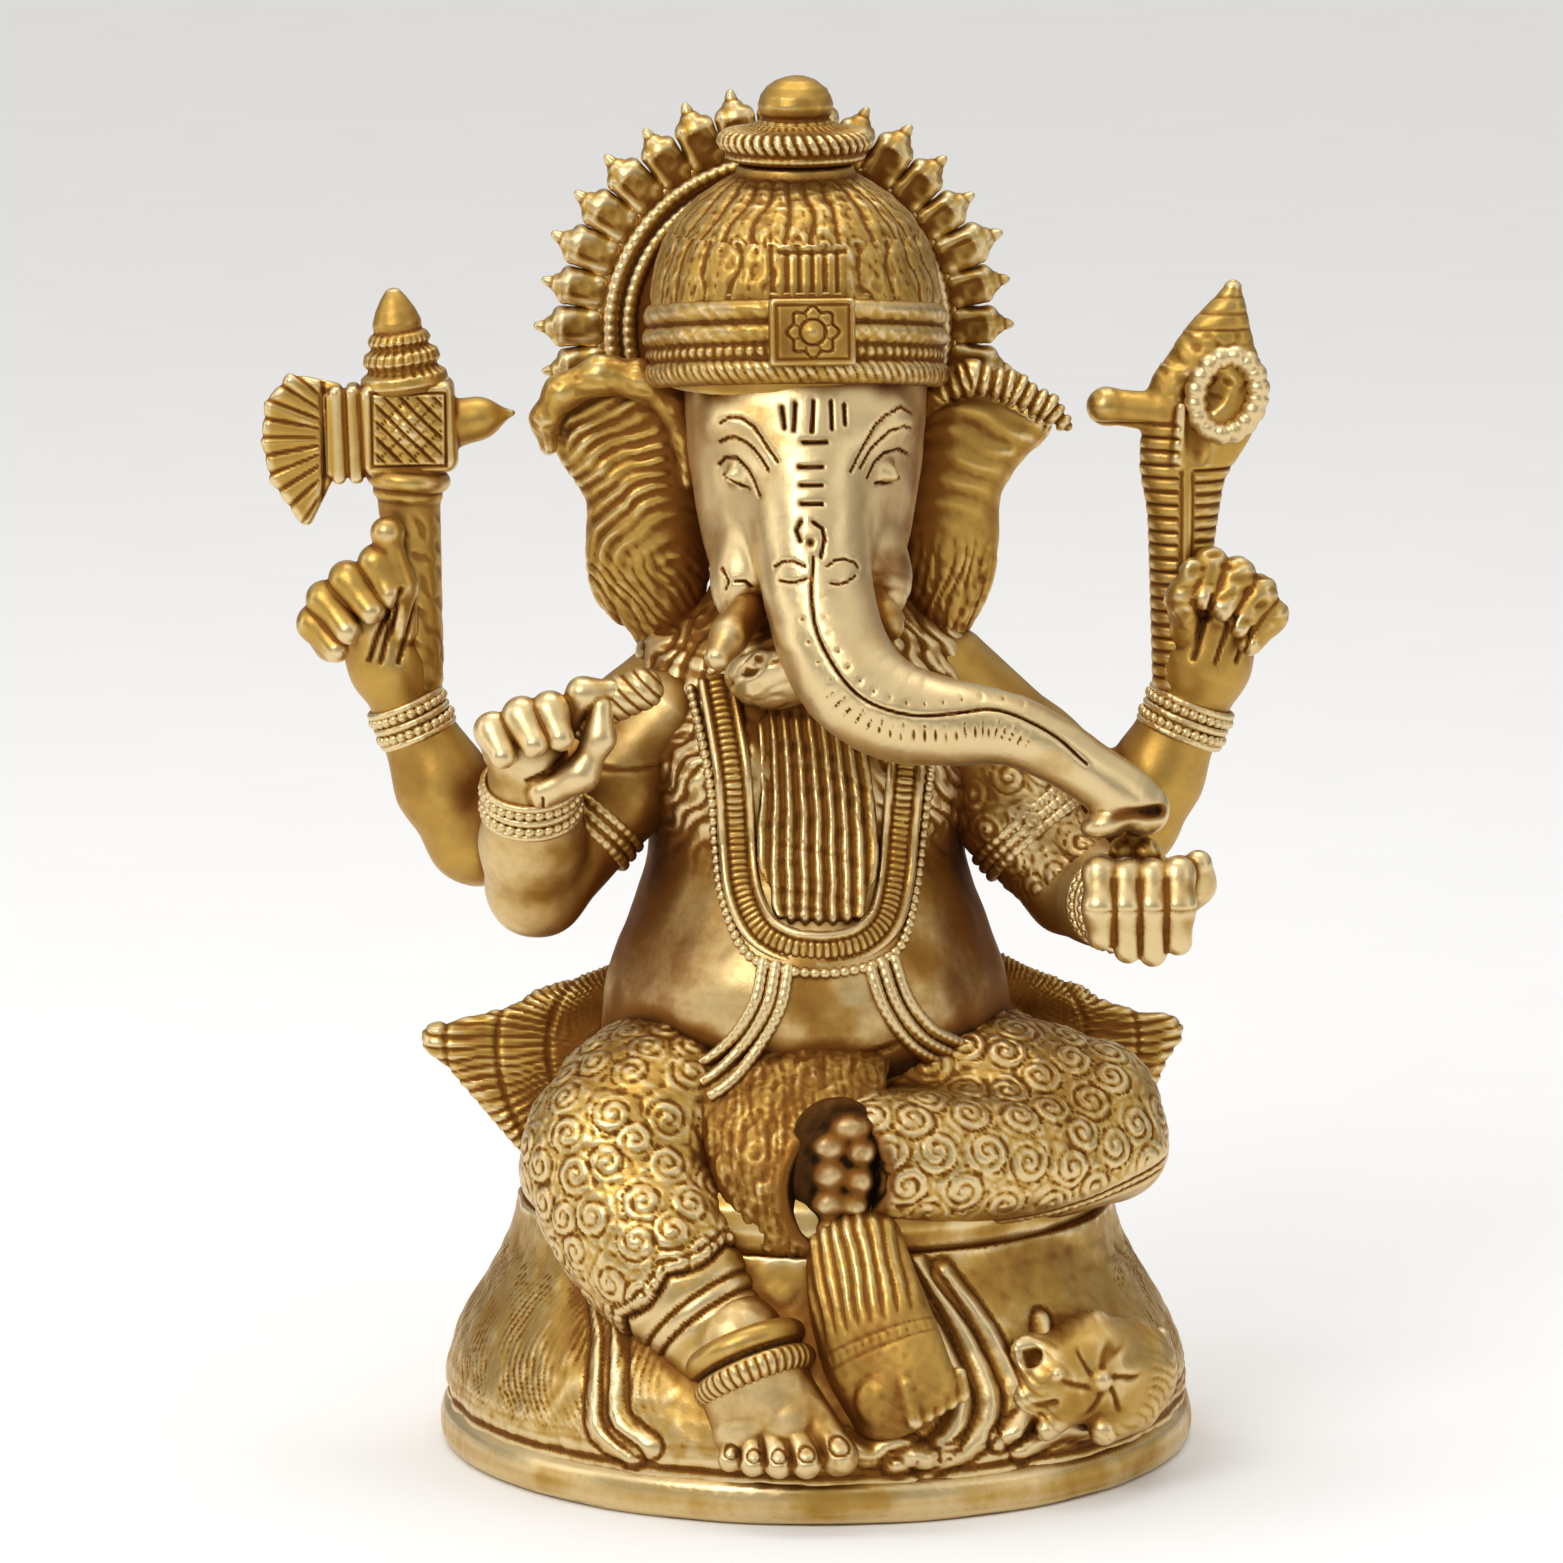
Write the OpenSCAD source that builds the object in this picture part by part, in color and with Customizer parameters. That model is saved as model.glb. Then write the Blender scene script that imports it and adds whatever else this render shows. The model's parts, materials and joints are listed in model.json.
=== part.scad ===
// Seated four-armed elephant-headed deity, a cast and chased brass statue built from brazed pieces.
// Millimetres. +Z is up, the deity faces -Y, and the origin is the centre of the foot ring's underside.
// "right" and "left" are the deity's own sides: its right hand is on -X.

/* [Statue] */
// Height from the foot to the crown's finial; every other size follows it
statue_h = 137.5; // [75:0.5:300]

/* [Pedestal] */
// Diameter of the foot ring on a statue 137.5 mm tall
base_d = 76; // [75:0.5:78]
// Height of the foot ring on a statue 137.5 mm tall
foot_h = 4.5; // [3.5:0.5:5]
// Wall thickness of the hollow pedestal on a statue 137.5 mm tall
wall = 3.2; // [2.5:0.1:4]

/* [Halo] */
// Number of petals round the halo
petal_count = 24; // [20:1:28]
// Radius to the petal tips on a statue 137.5 mm tall
halo_r = 24.5; // [23.5:0.5:26]
// Radius of the ring that carries the petals on a statue 137.5 mm tall
halo_ring_r = 18.8; // [18:0.2:19.6]

/* [Hidden] */

brass = [0.80, 0.62, 0.28];
bright_brass = [0.86, 0.72, 0.45];
toned_brass = [0.66, 0.44, 0.16];

drawn_h = 137.5;                     // height at which the sizes below are given
k = statue_h / drawn_h;              // size of the statue against those sizes
base_r = base_d / 2;
neck_r = 30;                         // narrowest radius of the pedestal
pedestal_top = 25;
seat_top = 32;
head_x = -2;                         // the head leans a little to the deity's right
crown_y = 1;
brow_z = 107.5;
halo_y = 13;
halo_z = 110;

// ---------- points and rings ----------

function unit(v) = v / norm(v);

// direction of a path at its point j
function along(p, j) = unit(p[min(j + 1, len(p) - 1)] - p[max(j - 1, 0)]);

// n points of an ellipse round c, square to t, with its first radius across "up"
function ring(c, t, r, up, n) =
    let (s = unit(cross(up, t)), u = cross(t, s))
    [for (i = [0:n - 1]) c + r[0] * cos(360 * i / n) * s + r[1] * sin(360 * i / n) * u];

// a path and its radii with a dome of length a before it and b after it
function domed_path(p, a, b) =
    let (last = len(p) - 1, t0 = along(p, 0), t1 = along(p, last))
    concat([p[0] - a * t0, p[0] - 0.75 * a * t0], p, [p[last] + 0.75 * b * t1, p[last] + b * t1]);
function domed_radii(r) =
    let (last = len(r) - 1)
    concat([0.25 * r[0], 0.7 * r[0]], r, [0.7 * r[last], 0.25 * r[last]]);

// a point of the cubic curve a, b, c, d
function bezier(a, b, c, d, t) =
    pow(1 - t, 3) * a + 3 * pow(1 - t, 2) * t * b + 3 * (1 - t) * t * t * c + pow(t, 3) * d;
function curve(a, b, c, d, steps) = [for (i = [0:steps]) bezier(a, b, c, d, i / steps)];

// ---------- shapes that repeat ----------

// Solid skin over rings of n points each, closed at both ends
module skin(rings) {
    n = len(rings[0]);
    m = len(rings);
    sides = [
        for (j = [0:m - 2])
            for (i = [0:n - 1])
                let (a = j * n + i, b = j * n + (i + 1) % n)
                [a, a + n, b + n, b]
    ];
    bottom = [for (i = [0:n - 1]) i];
    top = [for (i = [0:n - 1]) m * n - 1 - i];
    polyhedron(points = [for (r = rings) each r], faces = concat([bottom], sides, [top]));
}

// Limb or band along path p, whose elliptical section r follows it
module limb(p, r, up = [0, 1, 0], n = 16, a = 0, b = 0) {
    path = a + b > 0 ? domed_path(p, max(a, 0.2), max(b, 0.2)) : p;
    radii = a + b > 0 ? domed_radii(r) : r;
    skin([for (j = [0:len(path) - 1]) ring(path[j], along(path, j), radii[j], up, n)]);
}

// Body built of level rings: each row is [z, y of the centre, half width, half depth]
module level_body(rows, x = 0, n = 24) {
    skin([for (row = rows) ring([x, row[1], row[0]], [0, 0, 1], [row[2], row[3]], [0, 1, 0], n)]);
}

// Rod from a to b with round ends
module rod(a, b, ra, rb, n = 10) {
    hull() {
        translate(a) sphere(ra, $fn = n);
        translate(b) sphere(rb, $fn = n);
    }
}

// Turned piece on an axis from a towards b, drawn along +Z
module turned(a, b) {
    d = unit(b - a);
    translate(a)
        rotate([0, acos(d[2]), atan2(d[1], d[0])])
            children();
}

// Bead ring round a limb at c, square to t
module bangle(c, t, r, thick) {
    turned(c, c + t)
        rotate_extrude($fn = 48)
            translate([r, 0]) circle(thick, $fn = 24);
}

// Hand at c closed round a handle: the knuckles run along "grip" and the fingers curl
// from the knuckles on side "out" towards "curl"; the palm reaches back to the wrist
module fist(c, wrist, grip, out, curl, size) {
    g = unit(grip);
    o = unit(out);
    w = unit(curl);
    hull() {
        translate(wrist) sphere(0.55 * size, $fn = 14);
        translate(c - 0.55 * size * g) sphere(0.5 * size, $fn = 14);
        translate(c + 0.55 * size * g) sphere(0.5 * size, $fn = 14);
    }
    for (i = [0:3]) {
        root = c + (i - 1.5) * 0.46 * size * g + 0.4 * size * o;
        knuckle = root + 0.42 * size * o + 0.12 * size * w;
        rod(root, knuckle, 0.26 * size, 0.27 * size, 8);
        rod(knuckle, knuckle + 0.55 * size * w - 0.1 * size * o, 0.26 * size, 0.22 * size, 8);
    }
}

// ---------- base ----------

module foot_ring() color(brass) scale(k) {
    edge = 0.8;
    inner_r = base_r - wall - 1.5;
    rotate_extrude($fn = 120)
        polygon([[inner_r, 0], [base_r - edge, 0], [base_r, edge],
                 [base_r, foot_h - edge], [base_r - edge, foot_h], [inner_r, foot_h]]);
}

// Inner outline of the pedestal, from its closed top down to the foot ring
function hollow_outline() =
    curve([neck_r - wall, pedestal_top - wall], [neck_r + 1 - wall, 15],
          [base_r - 1 - wall, 11], [base_r - wall - 1.4, foot_h], 9);

// Hollow mound: a flared bell with a closed top
module pedestal() color(toned_brass) scale(k) {
    outer = curve([base_r - 0.6, foot_h], [base_r + 0.6, 12], [neck_r + 1, 16],
                  [neck_r, pedestal_top], 9);
    rotate_extrude($fn = 120)
        polygon(concat(outer, [[0, pedestal_top], [0, pedestal_top - wall]], hollow_outline()));
}

// Trims children back to the pedestal's wall, so that nothing reaches into its hollow
module clear_of_hollow()
    difference() {
        children();
        rotate_extrude($fn = 120)
            polygon(concat([[0, pedestal_top - wall]], hollow_outline(),
                           [[base_r - wall - 1.5, -1], [0, -1]]));
    }

module seat() color(brass) scale(k) {
    crown_r = 3;
    h = seat_top - pedestal_top;
    translate([0, 0, pedestal_top])
        rotate_extrude($fn = 96)
            polygon(concat([[0, 0], [neck_r - 0.5, 0]],
                           curve([neck_r, 1], [neck_r, h - crown_r], [neck_r - 1, h],
                                 [neck_r - crown_r, h], 5),
                           [[0, h]]));
}

// ---------- body ----------

module torso() color(brass) scale(k)
    level_body([[seat_top, 0, 18, 14], [36, 0, 20.5, 16.5], [42, -1.5, 20.8, 18.8], [48, -2, 20, 19],
                [54, -1.5, 18, 16.8], [60, -0.5, 16, 13.6], [66, 0.5, 16.4, 11.8], [72, 1, 17.6, 10.6],
                [77, 1.5, 16, 9.6], [81, 2, 12.5, 8.8], [86, 2, 9.5, 8]], x = -1);

module loin_cloth() color(toned_brass) scale(k)
    limb([[-3, -16, 41], [-3, -22, 36], [-3, -26, 30], [-2.5, -28, 23]],
         [[10, 3], [9, 3.5], [7, 3.5], [5, 3]], up = [0, 1, 0.2], a = 1.5, b = 1.5);

module right_thigh() color(brass) scale(k)
    limb([[-7, -4, 38], [-12, -9, 37], [-17, -14, 35.5], [-20, -17, 33.5]],
         [[11, 9], [11.5, 9.5], [11, 10], [9.5, 9]], up = [0, 0, 1], a = 5, b = 5);

module right_shin() color(brass) scale(k) clear_of_hollow()
    limb([[-20, -17.5, 32], [-18, -21, 28], [-14.5, -25.5, 22.5], [-10.5, -29, 17]],
         [[9.8, 8.5], [9.8, 8.5], [8.5, 7.2], [6.4, 5.6]], up = [0, 1, 0], a = 6, b = 1.5);

module right_foot() color(bright_brass) scale(k) clear_of_hollow() {
    heel = [-7.5, -33, 12];
    rod([-9, -31, 16.5], heel, 4.6, 4.2, 12);
    rod(heel, [-1.5, -37.5, 8.6], 4, 3, 12);
    rod(heel, [-4.5, -37.8, 8], 3.8, 2.8, 12);
    for (i = [0:4])
        rod([-6 + 1.9 * i, -38 - 0.1 * i, 7.6 + 0.25 * i], [-5.6 + 2.1 * i, -40.2 - 0.1 * i, 6.4],
            1.5, 1.2 + 0.12 * i, 8);
}

module right_anklet() color(brass) scale(k)
    bangle([-8.6, -31.4, 15.8], [0.3, -0.35, -0.85], 5.2, 1.1);

module left_thigh() color(brass) scale(k)
    limb([[4, -3, 38], [12, -5, 37.5], [20, -7, 36.5], [27, -8, 35]],
         [[12, 8], [12, 8.2], [11, 7.8], [9.5, 6.8]], up = [0, 0, 1], a = 4, b = 5.5);

module left_shin() color(brass) scale(k)
    limb([[27.5, -9, 32], [20, -14, 31.5], [12, -17.5, 31.2], [6.5, -20, 31]],
         [[8.5, 6.5], [8.5, 6.6], [7.6, 6.4], [6.4, 6.2]], up = [0, 0, 1], a = 5, b = 1);

// Sole turned forward and upright, with the toes over its upper edge
module left_foot() color(bright_brass) scale(k) {
    limb([[2.2, -23.5, 37.4], [1.4, -24.6, 33.5], [0.6, -25.2, 29.5], [0.4, -25.4, 25.6]],
         [[4.6, 2.8], [5.6, 3.2], [5.4, 3.2], [4, 2.8]], up = [0, 1, 0.1], n = 14, a = 1.6, b = 1.6);
    for (i = [0:4])
        rod([-1.6 + 1.9 * i, -26, 35.6 + 0.5 * i], [-1.8 + 1.9 * i, -27.4, 33.8 + 0.5 * i],
            1.4, 1.3, 8);
}

module sash_end() color(brass) scale(k) clear_of_hollow()
    limb([[3, -28.5, 25], [4.2, -30.5, 20.5], [5.6, -33, 15.5], [6.8, -35.5, 10.5]],
         [[4.3, 1.8], [4.7, 2], [5.3, 2.2], [5.6, 2.2]], up = [0, 1, 0.3], a = 1, b = 1);

// Leaf-shaped spread of the hip sash from its tip, over its low corner, to the hip
module sash_fan(tip, low, hip_top, hip_low)
    hull() {
        translate(tip) sphere(0.9, $fn = 16);
        translate(low) sphere(1.2, $fn = 16);
        translate((tip + hip_top) / 2 + [0, 0, 0.6]) sphere(1.8, $fn = 16);
        translate(hip_top) sphere(3, $fn = 16);
        translate(hip_low) sphere(4, $fn = 16);
    }

module sash_fan_right() color(brass) scale(k)
    sash_fan([-38, 4, 40], [-29, 1, 29.5], [-18, 4, 45], [-19, 1, 33]);
module sash_fan_left() color(brass) scale(k)
    sash_fan([35.4, 4, 40.2], [33.6, 2, 34], [17, 4, 45.5], [18, 1, 34]);

// ---------- arms ----------
// The shoulder, elbow, wrist and grip of each arm, front and rear, right and left.

shoulder_fr = [-16, -1, 71.5];
elbow_fr = [-28, -6, 57];
wrist_fr = [-28.6, -12.5, 69];
fist_fr = [-27.4, -14, 74.2];
shoulder_rr = [-15, 4, 73.5];
elbow_rr = [-34.4, 3, 60.4];
wrist_rr = [-41, 3.6, 74.6];
fist_rr = [-43.6, 1.6, 83];
shoulder_fl = [14.5, -1, 69.5];
elbow_fl = [26, -5, 56.5];
wrist_fl = [29.5, -12.5, 56];
palm_fl = [31, -16.5, 56.5];
shoulder_rl = [13.5, 4, 75];
elbow_rl = [32, 4, 61.5];
wrist_rl = [37.6, 3.6, 74];
fist_rl = [40.6, 1.6, 82.4];

module upper_arm(shoulder, elbow, r0, r1) {
    mid = (shoulder + elbow) / 2;
    limb([shoulder, mid, elbow], [[r0, r0], [0.9 * r0, 0.9 * r0], [r1, r1]], a = r0, b = 0.9 * r1);
}

module forearm(elbow, wrist, r0, r1) {
    mid = elbow + 0.35 * (wrist - elbow);
    limb([elbow, mid, wrist], [[r0, r0], [1.05 * r0, 1.05 * r0], [r1, r1]], a = 0.9 * r0, b = 1);
}

module front_right_upper_arm() color(brass) scale(k) upper_arm(shoulder_fr, elbow_fr, 5.8, 5.2);
module front_right_forearm() color(bright_brass) scale(k) forearm(elbow_fr, wrist_fr, 5.1, 4.4);
module rear_right_upper_arm() color(brass) scale(k) upper_arm(shoulder_rr, elbow_rr, 5.6, 5);
module rear_right_forearm() color(brass) scale(k) forearm(elbow_rr, wrist_rr, 5, 3.5);
module front_left_upper_arm() color(brass) scale(k) upper_arm(shoulder_fl, elbow_fl, 5.8, 5.3);
module front_left_forearm() color(brass) scale(k) forearm(elbow_fl, wrist_fl, 5.1, 3.8);
module rear_left_upper_arm() color(brass) scale(k) upper_arm(shoulder_rl, elbow_rl, 5.4, 4.8);
module rear_left_forearm() color(bright_brass) scale(k) forearm(elbow_rl, wrist_rl, 4.6, 3.9);

module front_right_hand() color(bright_brass) scale(k)
    fist(fist_fr, wrist_fr, [0.95, 0, 0.22], [-0.1, -0.55, 0.8], [0.1, -0.8, -0.6], 5.4);
module rear_right_hand() color(bright_brass) scale(k)
    fist(fist_rr, wrist_rr, [-0.72, 0, -0.7], [-0.7, -0.3, 0.65], [0.6, -0.8, 0.1], 5.2);
module rear_left_hand() color(bright_brass) scale(k)
    fist(fist_rl, wrist_rl, [0.72, 0, -0.7], [0.7, -0.3, 0.65], [-0.6, -0.8, 0.1], 5.2);

// Open palm: four fingers fold down in front and the thumb stands at the outer side
module front_left_hand() color(bright_brass) scale(k) {
    rod(wrist_fl, palm_fl, 3.8, 4.6, 12);
    rod([29.5, -18, 57.5], [33.5, -18, 57.5], 4, 4, 12);
    for (i = [0:3]) {
        x = 27.2 + 2.5 * i;
        rod([x, -19.5, 60.5], [x, -22.6, 59.2], 1.5, 1.5, 8);
        rod([x, -22.6, 59.2], [x, -22.8, 54.5], 1.5, 1.4, 8);
    }
    rod([35.5, -17.5, 57.5], [37, -19, 61.5], 1.9, 1.5, 8);
}

module bracelets() color(brass) scale(k) {
    bangle(wrist_fr + [0, 1, -1.8], wrist_fr - elbow_fr, 4.4, 0.8);
    bangle(wrist_rr + [0.6, 0, -1], wrist_rr - elbow_rr, 3.9, 0.9);
    bangle(wrist_fl + [-0.5, 1.2, 0], wrist_fl - elbow_fl, 4, 0.8);
    bangle(wrist_rl + [-0.3, 0, -1], wrist_rl - elbow_rl, 3.9, 0.9);
}

module armlets() color(brass) scale(k) {
    share = 0.55;
    for (arm = [[shoulder_fr, elbow_fr], [shoulder_fl, elbow_fl]])
        bangle(arm[0] + share * (arm[1] - arm[0]), arm[1] - arm[0], 5.4, 0.8);
}

// ---------- what the hands hold ----------

module hand_tusk() color(bright_brass) scale(k)
    limb([[-23.5, -14.5, 75], [-21.5, -15, 77], [-18.8, -15.4, 78.4], [-16.2, -15.4, 79]],
         [[1.5, 1.5], [1.9, 1.9], [1.9, 1.9], [1.3, 1.3]], n = 12, a = 0.8, b = 0.8);

axe_c = [-40.8, 2.4, 102.2];
axe_foot = [-39.4, 2.8, 78];

module axe_shaft() color(brass) scale(k)
    turned(axe_foot, axe_c)
        cylinder(r1 = 2.6, r2 = 3.7, h = norm(axe_c - axe_foot) - 5, $fn = 40);

module axe_head() color(brass) scale(k)
    translate(axe_c) {
        hull() {
            translate([0.6, 0, -6]) cylinder(r = 3.9, h = 1.4, $fn = 24);
            translate([-4.4, -3, -3]) cube([9.4, 6, 6.4]);
            translate([0.2, 0, 3.8]) cylinder(r = 3.9, h = 1, $fn = 24);
        }
        hull() {
            translate([-5, 0, -3.2]) sphere(1.5, $fn = 12);
            translate([-5, 0, 3.4]) sphere(1.5, $fn = 12);
            translate([-7, 0, -3.4]) sphere(1.4, $fn = 12);
            translate([-7, 0, 3.4]) sphere(1.4, $fn = 12);
        }
        hull() {
            translate([-7, 0, 3]) sphere(1.3, $fn = 12);
            translate([-7, 0, -3]) sphere(1.3, $fn = 12);
            translate([-11.6, 0, 4.4]) sphere(0.9, $fn = 12);
            translate([-13.2, 0, 1]) sphere(0.8, $fn = 12);
            translate([-12.4, 0, -4.6]) sphere(0.8, $fn = 12);
            translate([-9.6, 0, -8.8]) sphere(0.9, $fn = 12);
        }
        hull() {
            translate([4, 0, 0.4]) sphere(2.6, $fn = 14);
            translate([8, 0, 0.8]) sphere(1.6, $fn = 12);
        }
        hull() {
            translate([8, 0, 0.8]) sphere(1.6, $fn = 12);
            translate([10.6, 0, 1]) sphere(0.5, $fn = 10);
        }
    }

// Stack of rings under a pointed cap
module axe_finial() color(bright_brass) scale(k)
    translate(axe_c + [0, 0, 4.6])
        rotate([0, -7, 0])
            rotate_extrude($fn = 48)
                polygon([[0, -1], [3.8, -1], [4.3, 0], [4, 1], [3.4, 1.4], [3.6, 2.2], [3.3, 3],
                         [2.8, 3.3], [3, 4], [2.6, 4.6], [2.2, 4.8], [2.1, 6], [1.6, 7.8], [0.9, 9],
                         [0, 9.4]]);

goad_foot = [36.4, 2.8, 77];
goad_neck = [36.8, 2.5, 93];

module goad_shaft() color(brass) scale(k)
    turned(goad_foot, goad_neck)
        cylinder(r1 = 2.8, r2 = 3.4, h = norm(goad_neck - goad_foot), $fn = 40);

// Leaf-shaped blade with a round prong on its inner side
module goad_head() color(brass) scale(k) {
    limb([goad_neck - [0, 0, 1], [36.6, 2.5, 98], [37.4, 2.5, 103], [38.4, 2.5, 107], [39.6, 2.5, 111],
          [41, 2.5, 115.4]],
         [[3.5, 2.6], [4.4, 2.6], [5.7, 2.6], [5, 2.4], [3.4, 2], [1.2, 1.1]],
         up = [0, 1, 0], b = 0.8);
    rod([32, 2.5, 103.4], [29, 2.5, 104], 2, 1.9, 12);
}

// Rope loop that hangs on the goad's outer side
module noose() color(brass) scale(k)
    translate([39.4, 0.6, 104.2])
        rotate([90, 0, 0])
            rotate_extrude($fn = 40)
                translate([3.2, 0]) circle(1.4, $fn = 20);

sweets_c = [31.3, -17.6, 60];

// Heap of round sweets on the open palm
module sweets() color(bright_brass) scale(k)
    translate(sweets_c) {
        for (i = [0:5])
            translate([2.6 * cos(60 * i), 2.4 * sin(60 * i), 0]) sphere(1.7, $fn = 12);
        for (i = [0:2])
            translate([1.4 * cos(120 * i + 30), 1.3 * sin(120 * i + 30), 2.1]) sphere(1.6, $fn = 12);
        translate([0, 0, 3.6]) sphere(1.4, $fn = 12);
    }

// ---------- head ----------

module head() color(bright_brass) scale(k)
    level_body([[83, -1, 6, 6], [86, -2, 9, 9], [90, -2.5, 10.4, 10.6], [95, -2, 11.2, 11.6],
                [100, -1.5, 12, 12.4], [105, -0.5, 12.6, 12.6], [109, 0.5, 12.6, 12.4],
                [113, 1, 11, 11]], x = head_x);

module trunk() color(bright_brass) scale(k)
    limb([[-1.8, -7, 98], [-1.6, -11.5, 93], [-1, -15.5, 87], [1, -18.5, 81.5], [5.5, -20.5, 77.2],
          [11, -21.5, 75.6], [17, -21, 75.8], [22.5, -20.5, 73.4], [26.5, -20, 70], [29, -19.8, 67]],
         [[8.8, 6], [8.4, 6], [7.6, 6], [6.6, 5.8], [5.4, 5.4], [4.4, 4.6], [3.6, 4],
          [3.1, 3.4], [2.8, 3], [2.6, 2.7]], up = [0, 1, 0.1], a = 3, b = 0.9);

// Ear as a curved leaf that hangs from the brow and leans back
module ear(rows)
    skin([for (row = rows) ring([row[0], row[1], row[2]], unit([row[5], 0, 1]), [row[3], row[4]],
                                [0, 1, 0], 16)]);

module right_ear() color(brass) scale(k)
    ear([[-15, 4, 80, 2.4, 1.6, 0], [-15.6, 4, 84, 4.2, 2.2, 0], [-15.6, 4, 89, 5.2, 2.4, 0],
         [-16.6, 3.5, 95, 6.8, 2.4, 0], [-18.4, 3, 100, 8, 2.4, 0], [-19, 2.6, 104, 7.8, 2.8, 0],
         [-18.8, 2.6, 106.6, 5, 1.8, 0]]);
module left_ear() color(brass) scale(k)
    ear([[12.4, 4, 80, 2.4, 1.6, 0], [12.6, 4, 84, 4.2, 2.2, 0], [12.4, 4, 89, 5, 2.4, 0],
         [13.2, 3.5, 95, 6, 2.4, 0], [14.8, 3, 99.5, 7, 2.4, 0], [16.6, 2.6, 102.6, 7.8, 2.6, 0],
         [15, 2.6, 105.6, 6, 1.8, 0]]);

module right_tusk() color(bright_brass) scale(k)
    limb([[-8, -11, 87], [-9.3, -14, 85], [-10.6, -16.5, 82.6]],
         [[2, 2], [1.8, 1.8], [1.1, 1.1]], n = 12, a = 0.8, b = 0.8);
module left_tusk() color(bright_brass) scale(k)
    limb([[4.5, -11, 87], [5.8, -13.2, 85.6], [6.6, -14.6, 84.6]],
         [[2, 2], [1.8, 1.8], [1.6, 1.6]], n = 12, a = 0.8, b = 0.3);

// ---------- crown ----------

module on_crown(z) translate([head_x, crown_y, z]) children();

module crown_dome() color(brass) scale(k) {
    outer = curve([14, 0], [15.4, 8], [12.5, 15], [6, 19.4], 10);
    on_crown(brow_z + 0.5)
        rotate_extrude($fn = 96)
            polygon(concat([[0, 0]], outer, [[0, 19.4]]));
}

module crown_band() color(brass) scale(k) {
    bead = 1.5;
    on_crown(brow_z)
        rotate_extrude($fn = 96)
            difference() {
                union() {
                    translate([12.2, 0]) square([2.4, 4.8]);
                    for (i = [0:2])
                        translate([14.3, 0.9 + i * bead]) circle(0.85, $fn = 24);
                }
                translate([11, -1]) square([1.6, 8]);
            }
}

module crown_plate() color(bright_brass) scale(k) {
    plate_w = 8.4;
    plate_h = 6.8;
    thick = 1.8;
    on_crown(brow_z + 5.4)
        translate([0.6, -15, 0])
            rotate([-6, 0, 0])
                rotate([90, 0, 0]) {
                    translate([-plate_w / 2, -plate_h / 2, -thick / 2]) cube([plate_w, plate_h, thick]);
                    cylinder(r = 2.5, h = thick / 2 + 0.6, $fn = 40);
                }
}

module crown_disc() color(brass) scale(k)
    on_crown(brow_z + 19.9)
        rotate_extrude($fn = 72)
            polygon(concat([[0, 0], [5, 0], [4.6, 1.4], [6.6, 2]],
                           curve([7.4, 2.4], [8, 3], [8, 3.6], [7.2, 4.2], 4),
                           [[4, 4.8], [0, 4.8]]));

module crown_finial() color(bright_brass) scale(k)
    on_crown(brow_z + 24.7)
        rotate_extrude($fn = 60)
            polygon(concat([[0, 0], [2.8, 0], [2.4, 0.6]],
                           curve([2.4, 0.6], [4.6, 1.4], [3.6, 4.2], [1, 5.1], 6),
                           [[0, 5.3]]));

// ---------- halo ----------

halo_span = 228;                        // the petals cover this angle, over the top
halo_start = 90 - halo_span / 2;
halo_turn = halo_span / (petal_count - 1);

module halo_ring() color(brass) scale(k)
    translate([head_x - 0.8, halo_y, halo_z])
        rotate([90, 0, 0])
            rotate([0, 0, halo_start - 4])
                rotate_extrude(angle = halo_span + 8, $fn = 96) {
                    translate([14, -1.3]) square([halo_ring_r - 14, 2.4]);
                    for (r = [15.6, 17.6])
                        translate([r, 1.1]) circle(0.9, $fn = 20);
                }

// One rounded bar with a pointed tip that stands on the ring
module petal() {
    half_w = 3.14159 * halo_ring_r * halo_turn / 360;
    tip = halo_r - halo_ring_r;
    hull() {
        translate([-0.4, 0, 0]) sphere(half_w * 0.92, $fn = 10);
        translate([tip * 0.58, 0, 0]) sphere(half_w * 1.08, $fn = 10);
        translate([tip - 0.3, 0, 0]) sphere(0.35, $fn = 6);
    }
}

module halo_petals() color(brass) scale(k)
    translate([head_x - 0.8, halo_y, halo_z])
        rotate([90, 0, 0])
            for (i = [0:petal_count - 1])
                rotate([0, 0, halo_start + i * halo_turn])
                    translate([halo_ring_r, 0, 0]) petal();

// ---------- ornaments ----------

module necklace() color(brass) scale(k)
    limb([[-11, -10, 75.5], [-10.3, -12.6, 70], [-9.6, -14.4, 63], [-9, -17.6, 57], [-6.6, -20.2, 51.5],
          [-1, -21.4, 49.5], [4.6, -20.2, 51.5], [7, -17.6, 57], [7.6, -14.4, 63], [8.3, -12.6, 70],
          [9, -10, 75.5]],
         [for (i = [0:10]) [2.4, 1.3]], up = [0, 1, 0], n = 12, a = 0.8, b = 0.8);

module chest_shawl() color(toned_brass) scale(k)
    limb([[-1, -11, 72], [-1, -13.2, 66], [-1, -15.6, 60], [-1, -18.6, 54]],
         [[7.6, 1.6], [7.4, 1.6], [7, 1.6], [5.6, 1.4]], up = [0, 1, 0], n = 16, a = 0.8, b = 0.8);

module belly_cords() color(brass) scale(k)
    for (side = [-1, 1])
        limb([[-1 + 3 * side, -21.4, 49], [-1 + 6 * side, -20.6, 45], [-1 + 9.5 * side, -18.4, 41.5],
              [-1 + 13 * side, -15.2, 39]],
             [for (i = [0:3]) [1.9, 1]], up = [0, 1, 0], n = 12, a = 0.6, b = 0.6);

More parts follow.
